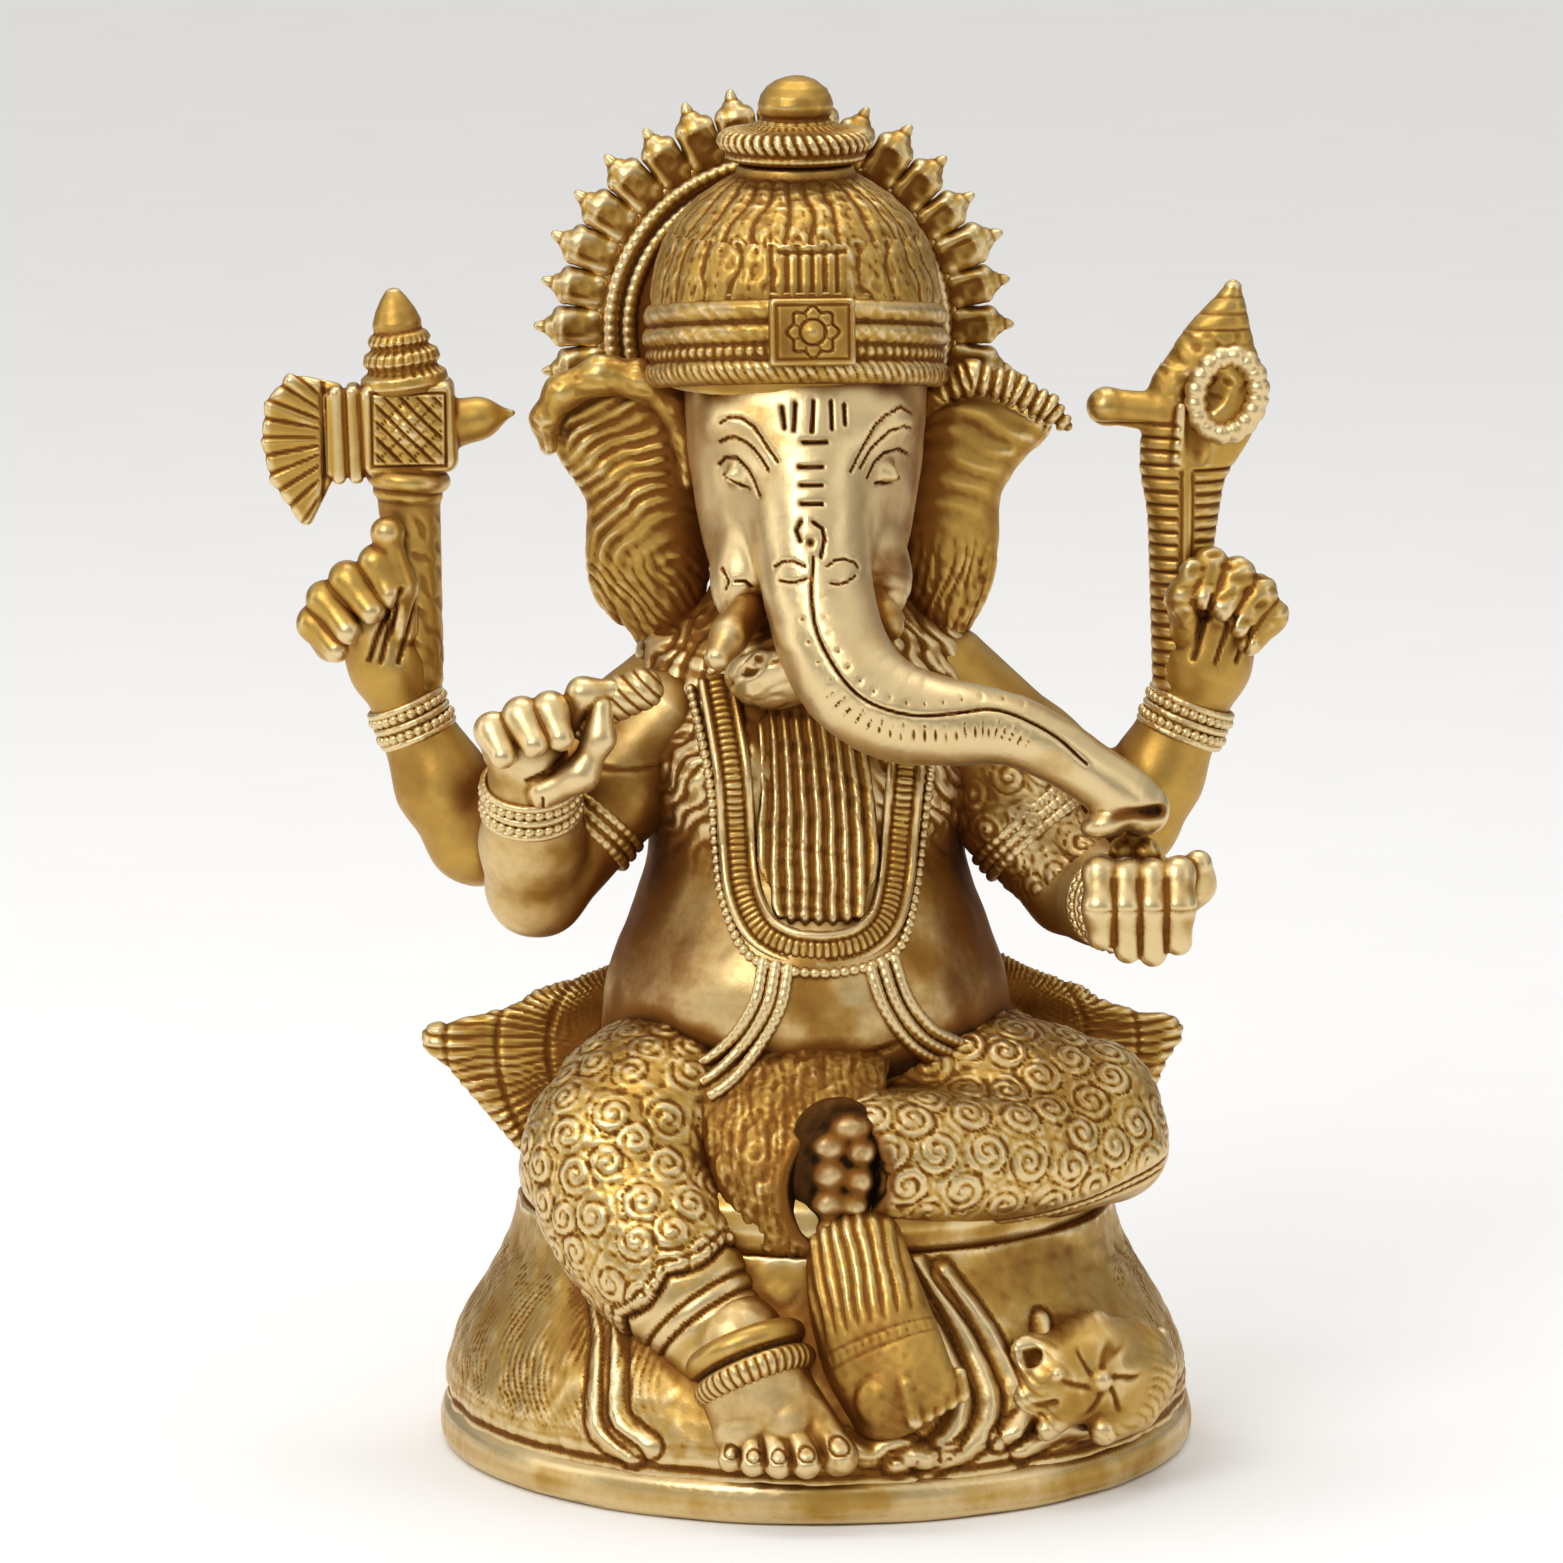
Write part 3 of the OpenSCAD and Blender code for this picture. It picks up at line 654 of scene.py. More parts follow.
def triangle(a, b, c, thick):
    """A flat three-cornered leaf with a round edge."""
    e = [(a, b - a), (b, c - b), (c, a - c)]
    n = unit(np.cross(b - a, c - a))

    def f(p):
        best = np.full(len(p), 1e9)
        inside = np.ones(len(p), bool)
        for start, d in e:
            q = p - start
            t = np.clip((q @ d) / (d @ d), 0, 1)
            best = np.minimum(best, size_of(q - t[:, None] * d))
            inside &= (q @ np.cross(n, d)) > 0
        flat = np.abs((p - a) @ n)
        return np.where(inside, np.minimum(best, flat), best) - thick

    return f


def arc_points(c, r, start, stop, count, u=(1, 0, 0), v=(0, 0, 1)):
    """Points on an arc about c, from angle start to stop in degrees, in the plane of u and v."""
    u, v = np.asarray(u, float), np.asarray(v, float)
    angles = np.radians(np.linspace(start, stop, count))
    return [c + r * (math.cos(t) * u + math.sin(t) * v) for t in angles]


def engrave(p, lines, width, front=None):
    """How deep each point lies in lines drawn on the front: each line is a list of (x, z)."""
    ink = np.zeros(len(p))
    q = p[:, [0, 2]]
    for line in lines:
        d, _ = line_distance(q, np.asarray(line, float))
        ink = np.maximum(ink, groove(d, width))
    if front is not None:
        ink *= front
    return ink


def facing(n):
    """1 where a surface faces the viewer's side of the statue, 0 behind."""
    return ease(-n[:, 1], -0.05, 0.35)


PIECES = []


def keep(piece, slot, *nodes):
    """Notes what a finished piece stands for. The frame calls come at the end, once it has aged."""
    PIECES.append((piece, slot, nodes))
    return piece


# %% [markdown]
# ## The base
# The statue stands on a turned band. Above it is a hollow bell, and a cushion closes that. The chaser
# has cut fine lines down the bell, and folds of the seat cloth spill over its front.

# %% Foot band and pedestal
def bezier(a, b, c, d, steps):
    t = np.linspace(0, 1, steps)[:, None]
    a, b, c, d = (np.asarray(v, float) for v in (a, b, c, d))
    return (1 - t) ** 3 * a + 3 * (1 - t) ** 2 * t * b + 3 * (1 - t) * t * t * c + t**3 * d


low, high = span("foot_ring")
BASE_R = high[0]
FOOT_H = high[2]
low, high = span("pedestal")
MOUND_TOP = high[2]
NECK_R = 30.0
WALL = 3.2
mound_line = bezier((BASE_R - 0.8, FOOT_H - 0.6), (BASE_R + 0.8, 12), (NECK_R + 1, 16), (NECK_R, MOUND_TOP), 12)
hollow_line = bezier((NECK_R - WALL, MOUND_TOP - WALL), (NECK_R + 1 - WALL, 15),
                     (BASE_R - 1 - WALL, 11), (BASE_R - WALL - 1.4, FOOT_H - 0.6), 8)


def mound_r(z):
    return np.interp(z, mound_line[:, 1], mound_line[:, 0])


foot_shape = lathe([(BASE_R - 4.6, 0), (BASE_R - 1.0, 0), (BASE_R - 0.3, 0.4), (BASE_R, 1.4), (BASE_R, 2.6),
                    (BASE_R - 0.25, 3.6), (BASE_R - 0.9, 4.3), (BASE_R - 2.0, FOOT_H), (BASE_R - 4.6, FOOT_H)])


def chase_foot(p, n):
    wall = ease(np.hypot(n[:, 0], n[:, 1]), 0.4, 0.8)
    turned = rows(p[:, 2] + 0.2 * speckle(p, 30, 3), 0.8, 0.14) * wall * 0.35
    return 0.06 * speckle(p, 9, 4) - 0.05 * turned, 0.35 * turned


keep(cast("foot_ring", foot_shape, (-39, -39, -0.5), (39, 39, 5.5), 0.42, chase_foot), "foot_band_brass", "foot_ring")

mound = lathe([*mound_line, (0, MOUND_TOP), (0, MOUND_TOP - WALL), *hollow_line])
FOLDS = [
    [(-47, 21), (-42, 17), (-39, 12.5), (-37, 8), (-31, 5.8)],
    [(-44, 21), (-38.5, 17), (-35.5, 12.5), (-33.5, 9), (-28, 7)],
    [(13, 24), (17, 20), (20, 16), (21, 11.5), (17, 7.5), (10, 6)],
    [(17, 24), (21.5, 20), (25, 15.5), (26, 11), (22.5, 7.5), (15, 5.6)],
    [(22, 23), (27, 19), (30, 15), (31, 11), (29, 8)],
    [(2, 8.5), (6, 7.0), (10, 8.2), (14, 6.6)],
    [(27, 7.5), (33, 9.5), (38, 13), (41, 17)],
    [(31, 6), (38, 7.6), (45, 6.8), (52, 8)],
]


def chase_mound(p, n):
    out = ease(n[:, 0] * p[:, 0] + n[:, 1] * p[:, 1], 0, 8)
    turn = np.degrees(np.arctan2(p[:, 0], -p[:, 1]))
    z = p[:, 2]
    arc = np.radians(turn) * 35
    grain = np.clip(speckle(p, 1.7, 19), 0, 1) * ease(turn, -180, -40) * 0.8
    height = 0.14 * speckle(p, 9, 5) + 0.06 * speckle(p, 3.5, 18) - 0.05 * grain
    ink = 0.15 * grain
    leaf = ease(z, 6, 9) * ease(-z, -23, -19) * (ease(-turn, 24, 34) + ease(turn, 62, 70))
    wander = arc + 0.10 * (z - 14) ** 2 * np.sign(turn) + 0.25 * speckle(p, 14, 6)
    comb = rows(wander, 0.95, 0.17) * leaf * (0.55 + 0.45 * speckle(p, 7, 16))
    height -= 0.16 * comb
    ink = np.maximum(ink, 0.5 * comb)
    plane = np.stack([arc, z], 1)
    for line in FOLDS:
        bend = smooth_line([(math.radians(t) * 35, h) for t, h in line], 14)
        d, _ = line_distance(plane, bend)
        height += 0.75 * groove(d, 0.85)
        edge = groove(d - 1.45, 0.28)
        height -= 0.22 * edge
        ink = np.maximum(ink, 0.75 * edge)
    step = groove(z - FOOT_H - 0.5, 0.35)
    ripple = rows(z + 0.3 * speckle(p, 8, 7), 0.9, 0.17) * ease(-z, -9, -7.4) * ease(z, 5, 5.6)
    ripple *= 0.35 + 0.65 * ease(turn, -20, 10)
    height -= 0.3 * step + 0.12 * ripple
    ink = np.maximum(ink, np.maximum(0.7 * step, 0.4 * ripple))
    return height * out, ink * out


keep(cast("pedestal", mound, (-39.5, -39.5, 3.4), (39.5, 39.5, 25.5), 0.36, chase_mound), "pedestal_brass", "pedestal")

low, high = span("seat")
SEAT_TOP = high[2]
seat_shape = lathe([(0, MOUND_TOP - 0.2), (NECK_R - 0.8, MOUND_TOP - 0.2), (NECK_R - 0.2, 25.8), (NECK_R + 0.1, 27.5),
                    (NECK_R - 0.3, 29.5), (NECK_R - 1.2, 31), (NECK_R - 3, SEAT_TOP), (0, SEAT_TOP)])


def chase_seat(p, n):
    side = ease(np.hypot(n[:, 0], n[:, 1]), 0.3, 0.8)
    turn = np.arctan2(p[:, 0], -p[:, 1]) * 30
    back = ease(p[:, 1], -2, 4)
    pleat = rows(turn + 1.2 * np.sin(p[:, 2] * 0.8), 2.2, 0.3) * side * back
    return 0.10 * speckle(p, 8, 8) - 0.22 * pleat, 0.5 * pleat


keep(cast("seat", seat_shape, (-31, -31, 24.4), (31, 31, 32.6), 0.42, chase_seat), "pedestal_brass", "seat")

# %% [markdown]
# ## The body
# Chest, belly, thighs and shins are one mass in the wax. They are separate pieces here, because each
# has its own surface: bare skin is smooth, and the wrapped cloth is covered in small scrolls.

# %% Torso
TORSO_X = -1.0
torso_rows = [[30, 0, 18, 14], [36, 0, 20.4, 16.3], [42, -1.5, 20.7, 18.6], [48, -2, 19.9, 18.8],
              [54, -1.5, 17.8, 16.6], [60, -0.5, 15.8, 13.4], [66, 0.5, 16.2, 11.6], [72, 1, 17.4, 10.4],
              [77, 1.5, 15.8, 9.4], [81, 2, 12.4, 8.6], [86, 2, 9.4, 7.8]]
torso_shape = merge(
    3.0,
    level_body(torso_rows, TORSO_X),
    egg(at("torso", -9.5, -6.5, 68), (6.5, 5.0, 6.0)),
    egg(at("torso", 8.0, -6.5, 67), (6.5, 5.0, 6.0)),
    egg(at("torso", -1, -11.5, 47), (14, 9, 9.5)),
    egg(at("torso", -1, 3.2, 84), (8.6, 7.0, 7.5)),
    egg(at("torso", -10, 3.4, 77), (8.4, 6.2, 5.6), (0, 25, 0)),
    egg(at("torso", 8, 3.4, 77), (8.4, 6.2, 5.6), (0, -25, 0)),
)
torso_shape = carve(0.8, torso_shape, ball(at("torso", -1, -22.8, 45.4), 1.0))


def chase_torso(p, n):
    x, z = p[:, 0], p[:, 2]
    front = facing(n)
    crease = groove(z - 42.6 - 0.02 * (x + 1) ** 2, 0.35) * front * ease(-np.abs(x - 1), -8, -5)
    rough = ease(np.abs(x + 0.5), 5, 8) * ease(z, 58, 66) * front
    strands = rows(np.abs(x + 0.5) * 0.85 + z * 0.55 + 0.6 * speckle(p, 6, 9), 1.5, 0.26) * rough
    pits = np.clip(speckle(p, 2.1, 10), 0, 1) * rough
    height = 0.10 * speckle(p, 7, 11) - 0.3 * crease - 0.30 * strands - 0.22 * pits
    # Darker under the belly and on the sides that turn away, which is painted shade, with random mottling on top.
    darkening = 0.72 * ease(-z, -47, -41) * front + 0.55 * ease(np.abs(n[:, 0]), 0.35, 0.8) * front + 0.30 * np.clip(speckle(p, 9, 13) - 0.2, 0, 1)
    ink = np.maximum.reduce([0.8 * crease, 0.6 * strands, 0.45 * pits, darkening])
    back = ease(n[:, 1], 0.0, 0.4)
    spine = groove(x - TORSO_X, 1.6) * back * ease(z, 44, 54) * ease(-z, -74, -62)
    cord_line = np.abs(x * 0.62 + (z - 62) * 0.62 + 3)
    thread = groove(cord_line, 0.9) * back * ease(z, 42, 46)
    notches = rows(x - z, 1.1, 0.2) * thread
    hair = rows((x - TORSO_X) * (1 + 0.02 * (z - 80)) + 0.5 * speckle(p, 6, 12), 1.6, 0.3) * back * ease(z, 77, 80)
    height += 0.45 * thread - 0.25 * notches - 0.4 * spine - 0.28 * hair
    return height, np.maximum.reduce([ink, 0.2 * spine, 0.5 * notches, 0.5 * hair, 0.5 * groove(cord_line - 1.3, 0.3) * back * ease(z, 42, 46)])


keep(cast("torso", torso_shape, (-24, -23, 30), (22, 18, 93), 0.34, chase_torso), "polished_brass", "torso")

# %% Legs and the cloth round them
pit = egg(at("left_foot", 0.8, -33.0, 32.8), (5.3, 6.2, 7.6), (0, 6, 0))
right_thigh = Sweep([at("right_thigh", -7, -4, 38), at("right_thigh", -12, -9, 37),
                     at("right_thigh", -17, -14, 35.5), at("right_thigh", -20, -16.5, 33.5)],
                    [(11, 8.6), (11.5, 9.2), (11, 9.6), (9.3, 8.8)], up=(0, 0, 1), steps=12)
right_shin = Sweep([at("right_shin", -20, -17, 32.5), at("right_shin", -18, -21, 28),
                    at("right_shin", -14.5, -25.5, 22.5), at("right_shin", -10.2, -29.5, 16.8)],
                   [(9.6, 8.4), (9.6, 8.3), (8.3, 7.2), (6.0, 5.4)], steps=14)
right_leg_shape = merge(2.5, right_thigh, right_shin, egg(at("right_thigh", -10, 5.5, 36.5), (12.5, 12, 7.5)))


def hem_marks(d, width=0.22):
    """Two lines with a row of dots' width between them, at distance d from the middle of a hem."""
    return np.maximum(groove(d - 0.7, width), groove(d + 0.7, width))


def chase_right_leg(p, n):
    s, a, b, _, _ = right_shin.where(p)
    total = right_shin.along[-1]
    turn = np.arctan2(a, -b)
    lower = ease(s, 1.0, 3.0)
    wave = 0.9 * np.abs(np.sin(turn * 3.0))
    hem = s - (total - 6.4) - wave
    cuff = s - (total - 2.6)
    plain = ease(hem, -0.4, 0.2) * lower
    height, ink = scrolls(p, n, 2.15, 1.1, 21, (1 - plain) * ease(n[:, 2] - 0.2 * n[:, 1], -0.8, -0.5))
    line = np.maximum(groove(hem, 0.4), 0.8 * groove(hem + 1.3, 0.2)) * lower
    beads = rows(turn * 6, 0.9, 0.16) * groove(hem + 0.65, 0.5) * lower
    band = np.maximum(groove(cuff + 0.8, 0.3), groove(cuff - 0.9, 0.3)) * lower
    rough = np.clip(speckle(p, 2.4, 22), 0, 1) * (1 - plain)
    height = height + plain * -0.5 - 0.35 * line - 0.2 * beads - 0.35 * band - 0.06 * rough
    ink = np.maximum.reduce([ink, 0.9 * line, 0.6 * beads, 0.8 * band, 0.25 * rough])
    return height, ink


right_leg_shape = carve(0.6, right_leg_shape, pit)
keep(cast("right_leg", right_leg_shape, (-32, -37, 11), (7, 19, 50), 0.32, chase_right_leg),
     "cloth_relief_brass", "right_thigh", "right_shin")

left_thigh = Sweep([at("left_thigh", -2, -3, 37.5), at("left_thigh", 4, -5, 37.5), at("left_thigh", 12, -7, 37),
                    at("left_thigh", 20, -8.5, 36), at("left_thigh", 27, -9, 35)],
                   [(12, 8.6), (13, 8.8), (12.6, 8.8), (11, 8.2), (9.0, 7.0)], up=(0, 0, 1), steps=15)
left_shin = Sweep([at("left_shin", 27.5, -11, 32), at("left_shin", 20, -17.5, 32.2),
                   at("left_shin", 12, -21.5, 32.6), at("left_shin", 5, -24, 33)],
                  [(8.2, 6.2), (8.0, 6.8), (7.6, 7.2), (6.8, 7.4)], up=(0, 0, 1), steps=12)
left_leg_shape = carve(0.6, merge(2.5, left_thigh, left_shin, egg(at("left_thigh", 9, 5.5, 36.5), (12.5, 12, 7.5))), pit)


def chase_left_leg(p, n):
    x, z = p[:, 0], p[:, 2]
    front = facing(n)
    hem = z - 26.6 - 0.012 * (x - 16) ** 2
    under = ease(-hem, -0.3, 0.3)
    height, ink = scrolls(p, n, 2.4, 1.15, 31, (1 - ease(-hem, -2.2, -1.2)) * ease(n[:, 2] - n[:, 1], -0.6, -0.3))
    line = hem_marks(hem) * front
    beads = rows(x, 0.9, 0.16) * groove(hem, 0.5) * front
    rough = np.clip(speckle(p, 2.4, 32), 0, 1) * (1 - under)
    height = height - 0.3 * line - 0.18 * beads - 0.4 * under * front - 0.06 * rough
    # The pit where the foot sits is painted near black as its shade.
    recess = ease(-pit(p), -2.0, -0.4)
    return height, np.maximum.reduce([ink, 0.85 * line, 0.6 * beads, 0.25 * rough, 1.1 * recess])


keep(cast("left_leg", left_leg_shape, (-10, -33, 21), (37, 19, 49), 0.32, chase_left_leg),
     "cloth_relief_brass", "left_thigh", "left_shin")

loin = Sweep([at("loin_cloth", -3.5, -14.4, 43), at("loin_cloth", -3.2, -22.0, 39),
              at("loin_cloth", -2.4, -26.4, 33), at("loin_cloth", -1.4, -28.0, 27)],
             [(11, 3.4), (9.5, 3.6), (8.6, 3.6), (6.0, 2.6)], up=(0, 1, 0.2), steps=12)
loin_solid = carve(0.6, loin, pit)


def chase_loin(p, n):
    pits = np.clip(speckle(p, 1.9, 41), 0, 1)
    strands = rows(p[:, 0] + 0.4 * speckle(p, 5, 42), 1.0, 0.18)
    inside = ease(-pit(p), -1.6, -0.3)
    height, ink = scrolls(p, n, 1.8, 0.9, 43, (1 - inside) * 0.55)
    # The cloth is darker all over, with mottling; the pit where the foot sits is painted near black as its shade.
    darkening = 0.50 + 0.16 * speckle(p, 5, 44)
    ink = np.maximum.reduce([darkening, 0.6 * ink, 0.5 * pits * (1 - inside), 0.4 * strands * (1 - inside), 1.1 * inside])
    return 0.6 * height - (0.16 * pits + 0.08 * strands) * (1 - inside), ink


keep(cast("loin_cloth", loin_solid, (-16, -34, 21), (9, -10, 48), 0.28, chase_loin),
     "cloth_relief_brass", "loin_cloth")

# %% Feet
sole_parts = [egg(at("left_foot", 0.8, -27.2, 32.8), (5.6, 2.5, 7.7), (0, 6, 0))]
for x, z, wide, tall in ((2.3, 37.9, 2.2, 1.5), (0.3, 36.0, 1.8, 1.5), (3.4, 35.5, 1.6, 1.5), (0.4, 33.2, 1.9, 1.7),
                         (3.2, 32.6, 1.5, 1.6), (0.3, 30.3, 1.9, 1.6), (2.8, 30.1, 1.4, 1.4), (0.5, 27.7, 1.9, 1.3)):
    sole_parts.append(egg(at("left_foot", x, -29.3, z), (wide, 1.5, tall)))


def chase_sole(p, n):
    # The sole is painted near black as the shade of its pit, the fronts of the toes less so.
    inner = ease(-p[:, 1] - 29.9, -0.1, 0.9)
    return -0.06 * np.clip(speckle(p, 1.8, 51), 0, 1), 1.25 - 0.78 * inner


keep(cast("left_foot", merge(0.9, *sole_parts), (-7, -33, 21), (9, -24, 43), 0.24, chase_sole),
     "polished_brass", "left_foot")

TOES = [(0.9, -39.0, 7.4, 1.95), (-2.3, -39.7, 7.0, 1.6), (-5.0, -39.4, 6.8, 1.45), (-7.4, -38.5, 6.7, 1.35), (-9.6, -37.0, 6.7, 1.25)]
foot_parts = [limb((at("right_foot", -8.6, -31, 17), 4.7), (at("right_foot", -6.6, -33, 13), 4.9),
                   (at("right_foot", -3.8, -35.2, 10.2), 4.0), k=1.5),
              limb((at("right_foot", -8.2, -33, 12.5), 4.4), (at("right_foot", -8.2, -35, 9.2), 3.2))]
toes = []
for i, (x, y, z, r) in enumerate(TOES):
    base = at("right_foot", -2.9 - 1.5 * i, -35.0 + 0.15 * i, 12.6 - 0.6 * i)
    toes.append(limb((base, r + 0.05), (at("right_foot", x, y, z), r)))
foot_solid = merge(0.3, merge(1.0, *foot_parts), *toes)


def chase_foot_top(p, n):
    ink = np.zeros(len(p))
    for i, (x, y, z, r) in enumerate(TOES):
        nail = at("right_foot", x, y - 0.7 * r, z + 0.75 * r)
        d = size_of(p - nail)
        ink = np.maximum(ink, groove(d - 0.55 * r, 0.16))
        if i:
            px, py, pz, pr = TOES[i - 1]
            gap = pill(at("right_foot", (x + px) / 2, y - 1.4, z + 0.4), at("right_foot", (x + px) / 2 - 0.3, y + 3.4, z + 4.6), 0.3)
            ink = np.maximum(ink, ease(-gap(p), -0.55, 0.1))
    return -0.16 * ink - 0.05 * np.clip(speckle(p, 3, 53), 0, 1), 0.75 * ink


keep(cast("right_foot", foot_solid, (-15, -42.2, 4.6), (5, -25, 23), 0.24, chase_foot_top),
     "polished_brass", "right_foot")

# %% [markdown]
# ## Sash and mouse
# The fringed end of the sash hangs down the front of the pedestal, and its two sides fan out behind
# the hips. They are thin castings, brazed on, with their pleats cut as fine parallel lines.

# %% Sash end
sash = Sweep([at("sash_end", 2.6, -29.4, 26.4), at("sash_end", 3.8, -32.0, 20.8),
              at("sash_end", 5.5, -34.6, 15.8), at("sash_end", 7.3, -36.4, 12.2)],
             [(4.8, 3.2), (5.7, 3.6), (6.1, 3.5), (5.8, 3.1)], up=(0, 1, 0.3), steps=14)
lobes = [egg(at("sash_end", 5.2, -37.6, 12.6), (2.7, 2.0, 2.9))]
for i in range(5):
    lobes.append(limb((at("sash_end", 7.4 + 1.3 * i, -38.7 + 0.42 * i, 14.4 + 0.15 * i), 0.7),
                      (at("sash_end", 8.2 + 1.15 * i, -39.3 + 0.55 * i, 11.0 + 0.5 * i), 0.85)))


def chase_sash(p, n):
    s, a, _, _, _ = sash.where(p)
    front = facing(n)
    top = ease(-s, -9.6, -8.2)
    wander = a + 0.10 * speckle(p, 6, 59)
    folds = np.cos(2 * math.pi * wander / 1.3) * top * ease(-s, -10, -6)
    lines = rows(wander + 0.65, 1.3, 0.20) * top
    pits = np.clip(speckle(p, 1.5, 60), 0, 1) * 0.35
    band = np.maximum.reduce([groove(s - 10.0, 0.22), groove(s - 11.4, 0.2)]) * 0.7
    ticks = rows(a, 0.9, 0.17) * groove(s - 10.7, 0.5) * 0.6
    ink = np.maximum.reduce([0.65 * lines, 0.6 * pits, band, ticks]) * front
    return (0.10 * folds - 0.08 * lines - 0.12 * pits - 0.12 * band - 0.1 * ticks) * front, 0.6 * ink


keep(cast("sash_end", merge(0.35, sash, *lobes), (-3, -41.5, 7), (16, -25, 30), 0.24, chase_sash),
     "cloth_relief_brass", "sash_end")

# %% Sash fans behind the hips
for side, tip, low_tip, hip_top, hip_low in (
    ("right", (-38, 4, 40), (-29.2, 2, 29.8), (-17, 4, 46), (-17, 2, 33)),
    ("left", (35.6, 4, 40.2), (33.2, 2, 35), (17, 4, 46), (18, 2, 33)),
):
    node = "sash_fan_" + side
    tip, low_tip, hip_top, hip_low = (at(node, *v) for v in (tip, low_tip, hip_top, hip_low))
    leaf = merge(2.0, triangle(tip, hip_top, hip_low, 1.3), triangle(tip, hip_low, low_tip, 1.3),
                 pill(hip_top, hip_low, 2.6), pill((tip + hip_top) / 2 + (0, 0, 0.7), hip_top, 1.2, 2.4))
    knot = (hip_top + hip_low) / 2

    def chase_fan(p, n, knot=knot):
        q = p - knot
        r = np.hypot(q[:, 0], q[:, 2])
        spread = np.arctan2(q[:, 2], np.abs(q[:, 0])) * 15
        pleat = rows(spread + 0.2 * speckle(p, 9, 61), 1.0, 0.2) * ease(r, 5, 8)
        tier = rows(r + 0.5, 5.2, 0.3) * ease(r, 4, 7)
        return 0.1 * np.cos(spread * 2 * math.pi) - 0.3 * pleat - 0.22 * tier, np.maximum(0.6 * pleat, 0.5 * tier)

    corners = np.stack([tip, low_tip, hip_top, hip_low])
    keep(cast(node, leaf, corners.min(0) - 4.5, corners.max(0) + 4.5, 0.28, chase_fan), "cloth_relief_brass", node)

# %% Mouse
def mouse_at(x, y, z):
    return at("mouse", x, y, z)


mouse_shape = merge(
    1.4,
    limb((mouse_at(29.6, -22, 11.5), 5.4), (mouse_at(25.8, -25.6, 12.6), 4.9), (mouse_at(22, -28.6, 12.4), 3.5),
         (mouse_at(19.4, -30.6, 10.8), 1.7), k=2.0),
    egg(mouse_at(20.2, -28.6, 14.8), (2.7, 1.5, 2.1), (0, 30, 30)),
    limb((mouse_at(25.0, -26.4, 16.0), 1.3), (mouse_at(26.4, -25.6, 17.2), 1.2)),
    limb((mouse_at(30, -25, 8.8), 3.0), (mouse_at(27.2, -29, 7.2), 1.5)),
    limb((mouse_at(23.6, -29.4, 9.6), 1.8), (mouse_at(21.4, -31.8, 8.0), 1.1)),
    limb((mouse_at(33, -18, 9.0), 1.8), (mouse_at(34.5, -14, 9.5), 1.2), (mouse_at(34.2, -10, 12), 0.9)),
)
mouse_shape = merge(0.4, mouse_shape, ball(mouse_at(22.4, -32.0, 13.6), 0.6), ball(mouse_at(26.8, -30.2, 12.6), 1.2))
mouse_shape = carve(0.5, mouse_shape, egg(mouse_at(20.0, -30.6, 15.0), (1.5, 0.8, 1.0), (0, 30, 30)),
                    pill(mouse_at(19.4, -32.6, 10.2), mouse_at(22.2, -32.0, 10.8), 0.28))


def chase_mouse(p, n):
    star = p - mouse_at(26.8, -30.2, 12.6)
    r = np.hypot(star[:, 0], star[:, 2])
    turn = np.arctan2(star[:, 2], star[:, 0])
    bent = turn + 0.12 * r + 0.2 * speckle(p, 6, 72)
    rays = groove(((bent * 6 / (2 * math.pi)) % 1 - 0.5) * r * 1.0, 0.34) * ease(r, 0.9, 1.5) * ease(-r, -4.6, -3.0)
    fur = rows(p[:, 0] * 0.6 + p[:, 2] * 0.8 + 0.4 * speckle(p, 4, 71), 1.0, 0.18) * ease(r, 4.5, 6.0) * 0.5
    ink = np.maximum(0.8 * rays, 0.5 * fur) * ease(-n[:, 1] + n[:, 2], -0.2, 0.3)
    return -0.3 * ink, 0.8 * ink


keep(cast("mouse", mouse_shape, (16, -35, 4.5), (38, -8, 20), 0.26, chase_mouse), "pedestal_brass", "mouse")

# %% [markdown]
# ## Arms
# Four arms grow from two pairs of shoulders. An arm is a soft chain of bars from shoulder to wrist,
# then a hand built of a palm and fingers, all poured into one piece. The fingers join the hand with
# small fillets, and the creases of the wrists are chased.

# %% Arms, front and rear
def bare_skin(seed, rough=None):
    """Smooth cast skin, and a textured sleeve where rough is above zero."""

    def chase(p, n):
        height = 0.07 * speckle(p, 6, seed)
        ink = np.zeros(len(p))
        if rough is not None:
            where = rough(p)
            twirl, twirl_ink = scrolls(p, n, 1.9, 1.1, seed, (where > 0.5) * 1.0)
            height = height + twirl * 0.8
            ink = np.maximum(ink, twirl_ink * 0.9)
        return height, ink

    return chase


def arm_bars(node, knots):
    return limb(*[(at(node, *c), r) for c, r in knots], k=1.4)


